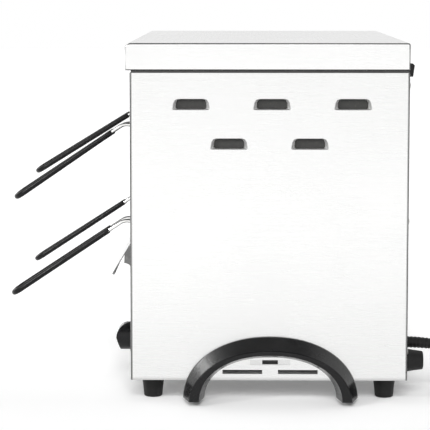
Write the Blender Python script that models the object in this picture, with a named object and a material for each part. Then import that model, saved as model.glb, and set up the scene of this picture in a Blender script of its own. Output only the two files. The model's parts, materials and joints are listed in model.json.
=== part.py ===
"""Two-level salamander grill with wire toast tongs, built as separate pieces.

Metres, +Z up. The front, where the tongs come out, faces -Y and +X is the side
with the timer knob. The origin is on the table, under the middle of the grill.
Run with: blender --background --python part.py
"""

import math

import bmesh
import bpy
from mathutils import Matrix, Vector

# Driving sizes of the body
body_width = 0.440
body_depth = 0.260
body_height = 0.289
ground_clearance = 0.0202
sheet = 0.0012
liner_sheet = 0.0010
clearance = 0.0003
cut_overrun = 0.002

# Sides of round shapes, and the greatest angle between faces that look smooth
wire_sides = 6
sleeve_sides = 8
pin_sides = 8
boot_sides = 10
tube_sides = 12
turned_sides = 16
knob_sides = 24
wire_smooth_degrees = 70
boot_smooth_degrees = 50
turned_smooth_degrees = 40
moulded_smooth_degrees = 25
sheet_smooth_degrees = 30

# Side panels, bent from one sheet each
bend_radius = 0.0020
bend_steps = 3
bend_inner_steps = 2
front_flange = 0.0200
rear_flange = 0.0140

# Louvres in the side panels: a flared mouth pressed inwards round an opening
louvre_mouth_width = 0.0360
louvre_mouth_top_width = 0.0322
louvre_mouth_height = 0.0104
louvre_mouth_foot_corner = 0.0008
louvre_mouth_top_corner = 0.0046
louvre_opening_width = 0.0281
louvre_opening_height = 0.0092
louvre_opening_foot_corner = 0.0018
louvre_opening_top_corner = 0.0036
louvre_depth = 0.0048
louvre_flare_angles = (0, 30, 60, 90)
louvre_corner_steps = 2
louvre_pitch = 0.0752
louvre_upper_centre_y = 0.0023
louvre_upper_drop = 0.0292
louvre_lower_drop = 0.0660

# Vent slots low in the side panels, inside the arch
vent_slot_length = 0.0373
vent_slot_height = 0.0039
vent_slot_inner_end = 0.0074
vent_slot_bottom = 0.0060
vent_flap_depth = 0.0022
centre_recess_length = 0.0378
centre_recess_height = 0.0049
centre_recess_depth = 0.0005
centre_recess_bottom = 0.0147
centre_slot_length = 0.0147

# Air slots in the base plate
air_slot_length = 0.0373
air_slot_width = 0.0035
air_slot_columns = 5
air_slot_pitch_share = 1.5
air_slot_row_share = 0.2

# Lid
lid_height = 0.0253
lid_gap = 0.0023
lid_front_overhang = 0.0042
lid_side_overhang = 0.0010
lid_front_radius = 0.0050
lid_bend_steps = 4
lid_hem = 0.0060
pan_inset = 0.0030

# Inner box
electrics_height = 0.0905
deck_flange = 0.0100
back_space = 0.0120
lintel_height = 0.0170
lintel_return = 0.0100
mid_rail_height = 0.0230
mid_rail_drop = 0.0110
panel_return = 0.0120

# Heating tubes
tube_radius = 0.0058
tube_hole_gap = 0.0010
lower_row_rise = 0.0173
top_row_drop = 0.0092
tube_spread = 0.0900
cup_wall = 0.0016
cup_depth = 0.0096
bracket_sheet = 0.0012
bracket_rim = 0.0080

# Wire racks under the tongs
rack_rod_radius = 0.0020
rack_rod_inset = 0.0160
rack_rod_count = 9
rack_bar_inset = 0.0240
rack_end_inset = 0.0080
weld_share = 0.7

# Tongs
tong_reach = 0.1220
lower_tong_rise = 0.0299
upper_tong_rise = 0.0388
tong_wire_radius = 0.0018
tong_bend_reach = 0.0155
tong_grip_start = 0.0265
tong_drop = 0.0706
tong_leg_spread = 0.0330
tong_tip_spread = 0.0220
tong_tip_round_share = 0.95
cage_outer_gap = 0.0050
cage_inner_gap = 0.0250
cage_length = 0.2150
cage_setback = 0.0100
cage_corner = 0.0080
leg_corner = 0.0060
handle_bend = 0.0120
cage_rod_radius = 0.0013
cage_rod_count = 4
pivot_setback = 0.0080
grip_radius = 0.0027
grip_bore_gap = 0.0004
jaw_wire_radius = 0.0012
jaw_side_inset = 0.0070
jaw_end_inset = 0.0050
jaw_rod_count = 5
jaw_corner = 0.0060
eye_gap = 0.0004
wire_bend_steps = 3
eye_steps = 7
eye_opening_degrees = 70.0

# Crumb tray
tray_sheet = 0.0008
tray_wall = 0.0080
tray_side_gap = 0.0012
tray_front_height = 0.0368
tray_lip_reach = 0.0185
tray_lip_drop = 0.0310
tray_lip_hem = 0.0022
gusset_sheet = 0.0010
gusset_reach = 0.0070
gusset_bottom_height = 0.0085
gusset_radius = 0.0075
gusset_steps = 5
tray_back_gap = 0.0040

# Arch handles
arch_centre_y = 0.0011
arch_half_width = 0.0813
arch_height = 0.0555
arch_centre_drop = 0.0022
arch_inner_half_width = 0.0620
arch_inner_height = 0.0378
arch_leg_bottom = 0.0058
arch_proud = 0.0240
arch_wall = 0.0050
arch_outer_power = 2.07
arch_inner_power = 2.21
arch_crease_shares = ((0.31, 0.55), (0.75, 0.72))
arch_stations = 30

# Rubber feet and rear bumpers
foot_base_radius = 0.01045
foot_end_radius = 0.0088
foot_round = 0.0016
foot_inset_x = 0.0250
foot_inset_y = 0.0200
bumper_length = 0.0159
bumper_inset_x = 0.0200
bumper_height = 0.0157

# Clips at the rear seam of the lid
clip_width = 0.0130
clip_height = 0.0122
clip_thickness = 0.0045
clip_tip_thickness = 0.0030
clip_chamfer = 0.0016
clip_inset_x = 0.0080
clip_overlap = 0.0061

# Timer and its knob
knob_place_share = 0.5
knob_height = 0.0215
knob_radius = 0.0139
knob_skirt_radius = 0.0170
knob_skirt = 0.0034
knob_reach = 0.0202
knob_blunt_reach = 0.0160
knob_bore_depth = 0.0100
knob_dome_steps = 6
shaft_radius = 0.0030
shaft_gap = 0.0002
timer_width = 0.0440
timer_height = 0.0340
timer_depth = 0.0300
timer_boss_radius = 0.0060
timer_boss = 0.0030

# Rocker switches
switch_place_share = -0.5
switch_pitch = 0.0260
rocker_width = 0.0130
rocker_radius = 0.0115
rocker_valley = 0.0074
rocker_pivot_depth = 0.0065
rocker_core = 0.0040
rocker_half_angle = 43.0
rocker_skirt_angle = 72.0
rocker_rest_angle = 10.0
bezel_width = 0.0520
bezel_height = 0.0300
bezel_thickness = 0.0014
housing_wall = 0.0020
housing_depth = 0.0240

# Pilot lamp
lamp_pitch = 0.0620
lamp_radius = 0.0050
lamp_flange_radius = 0.0072
lamp_flange = 0.0012
lamp_dome = 0.0026
lamp_dome_angles = (60, 30)
lamp_body = 0.0160

# Terminal block
terminal_length = 0.0420
terminal_width = 0.0180
terminal_height = 0.0150
terminal_step = 0.0050
terminal_pitch = 0.0350
terminal_back_gap = 0.0500

# Mains cord
cord_radius = 0.0045
curve_steps = 12
boot_inset_x = 0.0350
boot_height = 0.0303
boot_length = 0.0240
boot_root_radius = 0.0055
boot_end_radius = 0.0051
boot_flange_radius = 0.0067
boot_flange = 0.0012
boot_neck_radius = 0.0052
boot_neck = 0.0060
boot_straight_share = 0.1
boot_droop_degrees = 7.4
boot_grooves = 3
boot_groove_depth = 0.0004
cord_lead_shares = ((0.245, 0.889), (0.346, 0.762), (0.413, 0.627), (0.458, 0.486), (0.504, 0.346),
                    (0.571, 0.210), (0.672, 0.084), (0.772, 0.020))
coil_outer_radius = 0.0610
coil_pitch = 0.0098
coil_centre_reach = 0.1200
coil_turns_in = 2.25
coil_turns_out = 2.0
coil_climb_turns = 0.5
coil_points_a_turn = 24
coil_tail = 0.0450
coil_tail_steps = 4
plug_axis_height = 0.0190
cord_floor_gap = 0.0002

# Plug on the far end
plug_neck_radius = 0.0054
plug_neck_end_radius = 0.0078
plug_neck = 0.0200
plug_grip_radius = 0.0125
plug_grip = 0.0160
plug_face_radius = 0.0184
plug_face = 0.0140
plug_pin_radius = 0.0024
plug_pin_length = 0.0190
plug_pin_pitch = 0.0190

# Places that follow from the sizes above
half_width = body_width / 2
total_depth = tong_reach + body_depth + bumper_length + clearance
body_front = tong_reach - total_depth / 2
body_back = body_front + body_depth
body_middle = (body_front + body_back) / 2
body_bottom = ground_clearance
body_top = body_bottom + body_height
inner_half_width = half_width - sheet
chamber_half_width = half_width - front_flange
chamber_back = body_back - back_space
chamber_middle = (body_front + chamber_back) / 2
deck_bottom = body_bottom + electrics_height
deck_top = deck_bottom + liner_sheet
lower_row_z = deck_bottom + lower_row_rise
top_row_z = body_top - top_row_drop
middle_row_z = (lower_row_z + top_row_z) / 2
cage_width = chamber_half_width - cage_outer_gap - cage_inner_gap
tong_spacing = cage_width + 2 * cage_inner_gap
arch_middle = body_middle + arch_centre_y
knob_x = half_width * knob_place_share
switch_x = half_width * switch_place_share
lamp_x = switch_x + lamp_pitch
boot_x = half_width - boot_inset_x
terminal_x = boot_x - terminal_pitch
lid_bottom = body_top + lid_gap
lid_top = lid_bottom + lid_height
pan_bottom = body_top + clearance
liner_front = body_front + sheet + clearance
liner_rear = body_back - sheet - clearance
cord_exit_y = body_back + clearance
cord_exit_z = body_bottom + boot_height


# Materials

def make_material(name, colour, roughness, metallic):
    material = bpy.data.materials.new(name)
    material.use_nodes = True
    shader = material.node_tree.nodes["Principled BSDF"]
    shader.inputs["Base Color"].default_value = (*colour, 1.0)
    shader.inputs["Roughness"].default_value = roughness
    shader.inputs["Metallic"].default_value = metallic
    material.diffuse_color = (*colour, 1.0)
    return material


def make_materials():
    """Colour, roughness and metallic value of every finish on the grill."""
    return {
        "satin_steel": make_material("satin_steel", (0.80, 0.80, 0.79), 0.32, 1.0),
        "bright_steel": make_material("bright_steel", (0.78, 0.78, 0.77), 0.18, 1.0),
        "dull_steel": make_material("dull_steel", (0.55, 0.55, 0.54), 0.45, 1.0),
        "black_plastic": make_material("black_plastic", (0.018, 0.018, 0.019), 0.32, 0.0),
        "black_rubber": make_material("black_rubber", (0.022, 0.022, 0.022), 0.60, 0.0),
        "quartz": make_material("quartz", (0.86, 0.84, 0.80), 0.35, 0.0),
        "ceramic": make_material("ceramic", (0.82, 0.79, 0.72), 0.55, 0.0),
        "red_lens": make_material("red_lens", (0.60, 0.03, 0.02), 0.20, 0.0),
    }


# Shapes

def add_object(name, bm, material, location=(0, 0, 0), smooth_degrees=None):
    """Turn a bmesh into a named object with outward faces and its material."""
    bmesh.ops.recalc_face_normals(bm, faces=bm.faces)
    mesh = bpy.data.meshes.new(name)
    bm.to_mesh(mesh)
    bm.free()
    if smooth_degrees is not None:
        mesh.shade_smooth()
        mesh.set_sharp_from_angle(angle=math.radians(smooth_degrees))
    if material is not None:
        mesh.materials.append(material)
    item = bpy.data.objects.new(name, mesh)
    item.location = location
    bpy.context.scene.collection.objects.link(item)
    return item


def add_guide(name, bm):
    """An object that only cuts or completes another one."""
    guide = add_object(name, bm, None)
    guide.hide_render = True
    guide.display_type = "WIRE"
    return guide


def combine(target, name, bm, operation):
    """Cut a shape out of the target, or join it on, with a Boolean modifier."""
    guide = add_guide(target.name + "_" + name, bm)
    guide.parent = target.parent
    modifier = target.modifiers.new(name, "BOOLEAN")
    modifier.operation = operation
    modifier.solver = "EXACT"
    modifier.object = guide
    return guide


def cut(target, name, bm):
    return combine(target, name, bm, "DIFFERENCE")


def weld(target, name, bm):
    return combine(target, name, bm, "UNION")


def add_prism(bm, outline, axis, low, high):
    """Extrude a closed outline along X, Y or Z between two places.

    The outline's two numbers are the other two coordinates, in X, Y, Z order.
    """
    def place(pair, along):
        first, second = pair
        if axis == "X":
            return Vector((along, first, second))
        if axis == "Y":
            return Vector((first, along, second))
        return Vector((first, second, along))

    near = [bm.verts.new(place(pair, low)) for pair in outline]
    far = [bm.verts.new(place(pair, high)) for pair in outline]
    bm.faces.new(near)
    bm.faces.new(list(reversed(far)))
    for index in range(len(outline)):
        after = (index + 1) % len(outline)
        bm.faces.new((near[after], near[index], far[index], far[after]))


def add_box(bm, low, high):
    outline = [(low[0], low[1]), (high[0], low[1]), (high[0], high[1]), (low[0], high[1])]
    add_prism(bm, outline, "Z", low[2], high[2])


def add_rings(bm, rings, closed=False, caps=True):
    """Skin a row of equal rings of points; closed joins the last to the first."""
    loops = [[bm.verts.new(point) for point in ring] for ring in rings]
    count = len(loops[0])
    pairs = len(loops) if closed else len(loops) - 1
    for index in range(pairs):
        here = loops[index]
        there = loops[(index + 1) % len(loops)]
        for side in range(count):
            after = (side + 1) % count
            bm.faces.new((here[side], here[after], there[after], there[side]))
    if caps and not closed:
        bm.faces.new(list(reversed(loops[0])))
        bm.faces.new(loops[-1])
    return loops


def cross_axis(direction):
    """A unit vector square to a direction: near Z, or near Y where that runs along Z."""
    steep = abs(direction.z) > math.sqrt(0.5)
    helper = Vector((0, 1, 0)) if steep else Vector((0, 0, 1))
    return (helper - direction * helper.dot(direction)).normalized()


def path_frames(path, closed=False):
    """Each point with two cross axes, which are carried along without twist."""
    count = len(path)
    frames = []
    normal = None
    for index in range(count):
        before = path[index - 1] if index or closed else path[0]
        after = path[(index + 1) % count] if index < count - 1 or closed else path[-1]
        tangent = (after - before).normalized()
        if normal is None:
            normal = cross_axis(tangent)
        normal = (normal - tangent * normal.dot(tangent)).normalized()
        frames.append((path[index], normal.copy(), tangent.cross(normal)))
    return frames


def wire_rings(path, radii, sides, closed=False):
    rings = []
    for index, (centre, normal, across) in enumerate(path_frames(path, closed)):
        radius = radii[index] if isinstance(radii, list) else radii
        ring = []
        for side in range(sides):
            angle = 2 * math.pi * (side + 0.5) / sides
            ring.append(centre + (normal * math.cos(angle) + across * math.sin(angle)) * radius)
        rings.append(ring)
    return rings


def add_wire(bm, path, radii, sides=wire_sides, closed=False):
    """A round wire along a path."""
    add_rings(bm, wire_rings(path, radii, sides, closed), closed)


def add_rod(bm, start, end, radius, sides=wire_sides):
    add_wire(bm, [Vector(start), Vector(end)], radius, sides)


def add_sleeve(bm, path, outer, inner, sides=sleeve_sides):
    """A tube with a bore along a path, open at both ends."""
    outside = add_rings(bm, wire_rings(path, outer, sides), caps=False)
    inside = add_rings(bm, wire_rings(path, inner, sides), caps=False)
    for outer_loop, inner_loop in ((outside[0], inside[0]), (outside[-1], inside[-1])):
        for side in range(sides):
            after = (side + 1) % sides
            bm.faces.new((outer_loop[side], outer_loop[after], inner_loop[after], inner_loop[side]))


def add_turned(bm, profile, origin, axis, sides=turned_sides):
    """Turn a profile of (along, radius) pairs round an axis through origin.

    A radius of zero closes the shape in one point.
    """
    axis = Vector(axis)
    first = cross_axis(axis)
    second = axis.cross(first)
    loops = []
    for along, radius in profile:
        centre = Vector(origin) + axis * along
        if radius == 0:
            loops.append([bm.verts.new(centre)])
            continue
        ring = []
        for side in range(sides):
            angle = 2 * math.pi * (side + 0.5) / sides
            outward = first * math.cos(angle) + second * math.sin(angle)
            ring.append(bm.verts.new(centre + outward * radius))
        loops.append(ring)
    for here, there in zip(loops, loops[1:]):
        for side in range(sides):
            after = (side + 1) % sides
            if len(here) == 1:
                bm.faces.new((here[0], there[after], there[side]))
            elif len(there) == 1:
                bm.faces.new((here[side], here[after], there[0]))
            else:
                bm.faces.new((here[side], here[after], there[after], there[side]))


def arc(centre, radius, start_degrees, end_degrees, steps):
    """Points on a flat arc, both ends included."""
    points = []
    for step in range(steps + 1):
        angle = math.radians(start_degrees + (end_degrees - start_degrees) * step / steps)
        points.append((centre[0] + radius * math.cos(angle), centre[1] + radius * math.sin(angle)))
    return points


def rounded_path(corners, radii, steps, closed=False):
    """A path through corners in space, each rounded to its radius."""
    count = len(corners)
    path = []
    for index in range(count):
        point = corners[index]
        radius = radii[index]
        if radius == 0 or (not closed and index in (0, count - 1)):
            path.append(point)
            continue
        back = (corners[index - 1] - point).normalized()
        ahead = (corners[(index + 1) % count] - point).normalized()
        opening = back.angle(ahead)
        reach = radius / math.tan(opening / 2)
        start = point + back * reach
        middle = point + (back + ahead).normalized() * radius / math.sin(opening / 2)
        first = (start - middle).normalized()
        turn = first.cross((point + ahead * reach - middle).normalized()).normalized()
        sweep = math.pi - opening
        for step in range(steps + 1):
            spin = Matrix.Rotation(sweep * step / steps, 3, turn)
            path.append(middle + (spin @ first) * radius)
    return path


def channel_outline(outer_x, web_y_low, web_y_high, thickness, flange_low, flange_high, radius, side):
    """Plan of a bent panel: a web along Y with a flange turned inwards at each end."""
    inner = max(radius - thickness, 0)
    bend_x = outer_x - radius
    bend_low = (bend_x, web_y_low + radius)
    bend_high = (bend_x, web_y_high - radius)
    outline = [(outer_x - flange_low, web_y_low)]
    outline += arc(bend_low, radius, -90, 0, bend_steps)
    outline += arc(bend_high, radius, 0, 90, bend_steps)
    outline += [(outer_x - flange_high, web_y_high), (outer_x - flange_high, web_y_high - thickness)]
    outline += arc(bend_high, inner, 90, 0, bend_inner_steps)
    outline += arc(bend_low, inner, 0, -90, bend_inner_steps)
    outline.append((outer_x - flange_low, web_y_low + thickness))
    return [(x * side, y) for x, y in outline]


# Outer shell

def louvre_ring(x, centre_y, centre_z, share, grow):
    """Outline of a louvre in the plane at x; share runs from the mouth to the opening."""
    def between(mouth, opening):
        return mouth + (opening - mouth) * share

    foot = between(louvre_mouth_width, louvre_opening_width) / 2 + grow
    top = between(louvre_mouth_top_width, louvre_opening_width) / 2 + grow
    rise = between(louvre_mouth_height, louvre_opening_height) / 2 + grow
    foot_corner = between(louvre_mouth_foot_corner, louvre_opening_foot_corner) + grow
    top_corner = between(louvre_mouth_top_corner, louvre_opening_top_corner) + grow
    corners = [Vector((x, centre_y - foot, centre_z - rise)), Vector((x, centre_y + foot, centre_z - rise)),
               Vector((x, centre_y + top, centre_z + rise)), Vector((x, centre_y - top, centre_z + rise))]
    radii = [foot_corner, foot_corner, top_corner, top_corner]
    return rounded_path(corners, radii, louvre_corner_steps, closed=True)


def add_louvre_hood(bm, centre_y, centre_z, side):
    """Outside of the flared metal round a louvre's opening, from within the sheet inwards."""
    rings = [louvre_ring((half_width - sheet / 2) * side, centre_y, centre_z, 0, liner_sheet)]
    for angle in louvre_flare_angles[-2:]:
        depth = louvre_depth * (1 - math.cos(math.radians(angle)))
        share = math.sin(math.radians(angle))
        rings.append(louvre_ring((half_width - depth) * side, centre_y, centre_z, share, liner_sheet))
    add_rings(bm, rings)


def add_louvre_throat(bm, centre_y, centre_z, side):
    """The space through a louvre: its mouth, its flare and its opening."""
    rings = [louvre_ring((half_width + cut_overrun) * side, centre_y, centre_z, 0, 0)]
    for angle in louvre_flare_angles:
        depth = louvre_depth * (1 - math.cos(math.radians(angle)))
        share = math.sin(math.radians(angle))
        rings.append(louvre_ring((half_width - depth) * side, centre_y, centre_z, share, 0))
    rings.append(louvre_ring((half_width - louvre_depth - cut_overrun) * side, centre_y, centre_z, 1, 0))
    add_rings(bm, rings)


def louvre_places():
    """Middle of each louvre: three above, two below between them."""
    upper_z = body_top - louvre_upper_drop
    lower_z = body_top - louvre_lower_drop
    upper = [(body_middle + louvre_upper_centre_y + column * louvre_pitch, upper_z) for column in (-1, 0, 1)]
    lower = [(body_middle + hand * louvre_pitch / 2, lower_z) for hand in (-1, 1)]
    return upper + lower


def vent_slots():
    """Low and high corners, along Y and up, of the two long slots."""
    low = body_bottom + vent_slot_bottom
    spans = []
    for hand in (-1, 1):
        ends = sorted((hand * vent_slot_inner_end, hand * (vent_slot_inner_end + vent_slot_length)))
        spans.append((arch_middle + ends[0], arch_middle + ends[1], low, low + vent_slot_height))
    return spans


def add_vent_flap(bm, y_low, y_high, z_low, side):
    """Flap bent inwards and up from the lower edge of a long slot."""
    face = half_width - sheet / 2
    tip = half_width - sheet - vent_flap_depth
    rise = vent_slot_height / 2
    outline = [(face, z_low - sheet), (face, z_low), (tip, z_low + rise), (tip, z_low + rise - liner_sheet),
               (half_width - sheet, z_low - sheet)]
    rings = [[Vector((x * side, y, z)) for x, z in outline] for y in (y_low, y_high)]
    add_rings(bm, rings)


def make_side_panel(name, side, material):
    """Side panel with its bent front and rear edges, louvres and low slots."""
    outline = channel_outline(half_width, body_front, body_back, sheet, front_flange, rear_flange,
                              bend_radius, side)
    bm = bmesh.new()
    add_prism(bm, outline, "Z", body_bottom, body_top)
    panel = add_object(name, bm, material)

    hoods = bmesh.new()
    throats = bmesh.new()
    for centre_y, centre_z in louvre_places():
        add_louvre_hood(hoods, centre_y, centre_z, side)
        add_louvre_throat(throats, centre_y, centre_z, side)
    weld(panel, "louvre_hoods", hoods)
    cut(panel, "louvre_throats", throats)

    slots = bmesh.new()
    for y_low, y_high, z_low, z_high in vent_slots():
        reach = sorted(((half_width + cut_overrun) * side, (half_width - sheet - cut_overrun) * side))
        add_box(slots, (reach[0], y_low, z_low), (reach[1], y_high, z_high))
    recess_low = body_bottom + centre_recess_bottom
    reach = sorted(((half_width + cut_overrun) * side, (half_width - centre_recess_depth) * side))
    add_box(slots, (reach[0], arch_middle - centre_recess_length / 2, recess_low),
            (reach[1], arch_middle + centre_recess_length / 2, recess_low + centre_recess_height))
    cut(panel, "vent_slots", slots)

    centre_slot = bmesh.new()
    reach = sorted(((half_width + cut_overrun) * side, (half_width - sheet - cut_overrun) * side))
    slot_low = recess_low + centre_recess_depth
    slot_high = recess_low + centre_recess_height - centre_recess_depth
    add_box(centre_slot, (reach[0], arch_middle - centre_slot_length / 2, slot_low),
            (reach[1], arch_middle + centre_slot_length / 2, slot_high))
    cut(panel, "centre_slot", centre_slot)
    flaps = bmesh.new()
    for y_low, y_high, z_low, z_high in vent_slots():
        add_vent_flap(flaps, y_low, y_high, z_low, side)
    weld(panel, "vent_flaps", flaps)
    return panel


def make_back_panel(material):
    """Flat back, flush between the rear flanges, with the cord's hole."""
    half = half_width - rear_flange - clearance
    bm = bmesh.new()
    add_box(bm, (-half, body_back - sheet, body_bottom), (half, body_back, body_top))
    panel = add_object("back_panel", bm, material)
    hole = bmesh.new()
    add_turned(hole, [(-cut_overrun, 0), (-cut_overrun, boot_neck_radius + clearance),
                      (sheet + cut_overrun, boot_neck_radius + clearance), (sheet + cut_overrun, 0)],
               (boot_x, body_back - sheet, cord_exit_z), (0, 1, 0))
    cut(panel, "cord_hole", hole)
    return panel


def make_base_plate(material):
    """Bottom plate between the panels, with two rows of air slots."""
    half = inner_half_width - clearance
    bm = bmesh.new()
    add_box(bm, (-half, liner_front, body_bottom), (half, liner_rear, body_bottom + sheet))
    plate = add_object("base_plate", bm, material)
    slots = bmesh.new()
    for row in (-1, 1):
        for column in range(air_slot_columns):
            x = (column - (air_slot_columns - 1) / 2) * air_slot_length * air_slot_pitch_share
            y = body_middle + row * body_depth * air_slot_row_share
            add_box(slots, (x - air_slot_length / 2, y - air_slot_width / 2, body_bottom - cut_overrun),
                    (x + air_slot_length / 2, y + air_slot_width / 2, body_bottom + sheet + cut_overrun))
    cut(plate, "air_slots", slots)
    return plate


def make_lid(material):
    """Lid folded from sheet: a round front edge and a hem, open underneath."""
    front = body_front - lid_front_overhang
    half = half_width + lid_side_overhang

    def profile(inset):
        radius = lid_front_radius - inset
        bend = arc((front + lid_front_radius, lid_top - lid_front_radius), radius, 90, 180, lid_bend_steps)
        return [(body_back - inset, lid_top - inset)] + bend

    outer = [(body_back, lid_bottom)] + profile(0) + [(front, lid_bottom)]
    below = lid_bottom - cut_overrun
    inner = [(body_back - sheet, below)] + profile(sheet)
    inner += [(front + sheet, lid_bottom + sheet), (front + lid_hem, lid_bottom + sheet),
              (front + lid_hem, below)]
    bm = bmesh.new()
    add_prism(bm, outer, "X", -half, half)
    lid = add_object("top_cover", bm, material, smooth_degrees=sheet_smooth_degrees)
    inside = bmesh.new()
    add_prism(inside, inner, "X", -half + sheet, half - sheet)
    cut(lid, "inside", inside)
    return lid


def make_top_pan(material):
    """Reflector over the upper tubes: a pan whose rim carries the lid."""
    half = half_width - pan_inset
    front = body_front + pan_inset
    back = body_back - pan_inset
    top = lid_top - sheet - clearance
    bm = bmesh.new()
    add_box(bm, (-half, front, pan_bottom), (half, back, top))
    pan = add_object("top_reflector", bm, material)
    inside = bmesh.new()
    add_box(inside, (-half + liner_sheet, front + liner_sheet, pan_bottom + liner_sheet),
            (half - liner_sheet, back - liner_sheet, top + cut_overrun))
    cut(pan, "inside", inside)
    return pan


# Front strips and inner box

def rail_outline(low, high, depth):
    """Side profile of a front strip folded back at its top and bottom edges."""
    front = body_front
    return [(front, low), (front + depth, low), (front + depth, low + sheet), (front + sheet, low + sheet),
            (front + sheet, high - sheet), (front + depth, high - sheet), (front + depth, high),
            (front, high)]


def make_rail(name, low, high, material):
    half = chamber_half_width - clearance
    bm = bmesh.new()
    add_prism(bm, rail_outline(low, high, lintel_return), "X", -half, half)
    return add_object(name, bm, material)


def make_control_panel(material):
    """Lower front panel with the holes for the knob's shaft, switches and lamp."""
    half = chamber_half_width - clearance
    front = body_front
    low = body_bottom
    fold_low = body_bottom + sheet + clearance
    high = deck_bottom - clearance
    depth = panel_return
    outline = [(front, low), (front + sheet, low), (front + sheet, fold_low), (front + depth, fold_low),
               (front + depth, fold_low + sheet), (front + sheet, fold_low + sheet),
               (front + sheet, high - sheet), (front + depth, high - sheet), (front + depth, high),
               (front, high)]
    bm = bmesh.new()
    add_prism(bm, outline, "X", -half, half)
    panel = add_object("control_panel", bm, material)
    holes = bmesh.new()
    start = -cut_overrun
    end = sheet + cut_overrun
    for x, radius in ((knob_x, timer_boss_radius + clearance), (lamp_x, lamp_radius + clearance)):
        add_turned(holes, [(start, 0), (start, radius), (end, radius), (end, 0)],
                   (x, body_front, control_height()), (0, 1, 0))
    half_x = bezel_width / 2 - housing_wall + clearance
    half_z = bezel_height / 2 - housing_wall + clearance
    add_box(holes, (switch_x - half_x, body_front - cut_overrun, control_height() - half_z),
            (switch_x + half_x, body_front + sheet + cut_overrun, control_height() + half_z))
    cut(panel, "holes", holes)
    return panel


def control_height():
    """Height of the line on which the knob, switches and lamp sit."""
    return body_bottom + knob_height


def tube_places():
    """Y and Z of each heating tube, two in each of three rows."""
    return [(chamber_middle + hand * tube_spread / 2, z)
            for z in (lower_row_z, middle_row_z, top_row_z) for hand in (-1, 1)]


def make_liner(name, side, material):
    """Inner side wall, folded outwards at both ends, with the tubes' holes."""
    inner_x = chamber_half_width
    outer_x = inner_half_width - bend_radius
    low = liner_front
    high = liner_rear
    t = liner_sheet
    outline = [(inner_x, low), (outer_x, low), (outer_x, low + t), (inner_x + t, low + t),
               (inner_x + t, high - t), (outer_x, high - t), (outer_x, high), (inner_x, high)]
    bm = bmesh.new()
    add_prism(bm, [(x * side, y) for x, y in outline], "Z", deck_top + clearance, body_top)
    liner = add_object(name, bm, material)
    holes = bmesh.new()
    radius = tube_radius + tube_hole_gap
    end = t + cut_overrun
    for y, z in tube_places():
        add_turned(holes, [(-cut_overrun, 0), (-cut_overrun, radius), (end, radius), (end, 0)],
                   (inner_x * side, y, z), (side, 0, 0), tube_sides)
    cut(liner, "tube_holes", holes)
    return liner


def make_back_liner(material):
    half = chamber_half_width - clearance
    bm = bmesh.new()
    add_box(bm, (-half, chamber_back, deck_top + clearance), (half, chamber_back + liner_sheet, body_top))
    return add_object("liner_back", bm, material)


def make_deck(material):
    """Floor of the grill space, folded down along the side panels."""
    half = inner_half_width - clearance
    t = liner_sheet
    low = deck_bottom - deck_flange
    outline = [(-half, low), (-half + t, low), (-half + t, deck_bottom), (half - t, deck_bottom),
               (half - t, low), (half, low), (half, deck_top), (-half, deck_top)]
    bm = bmesh.new()
    add_prism(bm, outline, "Y", liner_front, liner_rear)
    return add_object("deck_plate", bm, material)


def make_heating_tube(name, y, z, material):
    """Milky quartz tube across the grill, its ends in the brackets' cups."""
    half = bracket_cup_floor() - clearance
    bm = bmesh.new()
    profile = [(-half, 0), (-half, tube_radius), (half, tube_radius), (half, 0)]
    add_turned(bm, profile, (0, y, z), (1, 0, 0), tube_sides)
    return add_object(name, bm, material, smooth_degrees=turned_smooth_degrees)


def bracket_cup_floor():
    """Distance from the middle to the inside of a bracket cup's floor."""
    return chamber_half_width + liner_sheet + clearance + cup_depth


def make_element_bracket(name, side, material):
    """Outer bracket that holds one end of all the tubes in round cups."""
    plate_low = chamber_half_width + liner_sheet + clearance
    reach = sorted((plate_low * side, (plate_low + bracket_sheet) * side))
    half_y = tube_spread / 2 + tube_radius + bracket_rim
    low = lower_row_z - tube_radius - bracket_rim
    bm = bmesh.new()
    add_box(bm, (reach[0], chamber_middle - half_y, low),
            (reach[1], chamber_middle + half_y, body_top - clearance))
    bracket = add_object(name, bm, material)
    cups = bmesh.new()
    bores = bmesh.new()
    cup_radius = tube_radius + clearance + cup_wall
    bore_radius = tube_radius + clearance
    root = bracket_sheet / 2
    end = cup_depth + cup_wall
    for y, z in tube_places():
        origin = (plate_low * side, y, z)
        add_turned(cups, [(root, 0), (root, cup_radius), (end, cup_radius), (end, 0)],
                   origin, (side, 0, 0), tube_sides)
        add_turned(bores, [(-cut_overrun, 0), (-cut_overrun, bore_radius), (cup_depth, bore_radius),
                           (cup_depth, 0)], origin, (side, 0, 0), tube_sides)
    weld(bracket, "cups", cups)
    cut(bracket, "bores", bores)
    return bracket


def tong_level(level):
    """Height of the tongs' lower wires on a level, 0 below and 1 above."""
    return (lower_row_z + lower_tong_rise, middle_row_z + upper_tong_rise)[level]


def make_rack(name, level, material):
    """Welded wire rack that carries the tongs and shields the tubes below."""
    rod_z = tong_level(level) - tong_wire_radius - clearance - rack_rod_radius
    bar_z = rod_z - 2 * rack_rod_radius * weld_share
    half = chamber_half_width - clearance
    bars = bmesh.new()
    for y in (body_front + rack_bar_inset, chamber_back - rack_bar_inset):
        add_rod(bars, (-half, y, bar_z), (half, y, bar_z), rack_rod_radius)
    rack = add_object(name, bars, material, smooth_degrees=wire_smooth_degrees)
    rods = bmesh.new()
    low_y = body_front + sheet + rack_end_inset
    high_y = chamber_back - rack_end_inset
    outer_x = chamber_half_width - rack_rod_inset
    for index in range(rack_rod_count):
        x = outer_x * (2 * index / (rack_rod_count - 1) - 1)
        add_rod(rods, (x, low_y, rod_z), (x, high_y, rod_z), rack_rod_radius)
    weld(rack, "rods", rods)
    return rack


# Tongs

def tong_centre_x(column):
    return (column - 0.5) * tong_spacing


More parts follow.
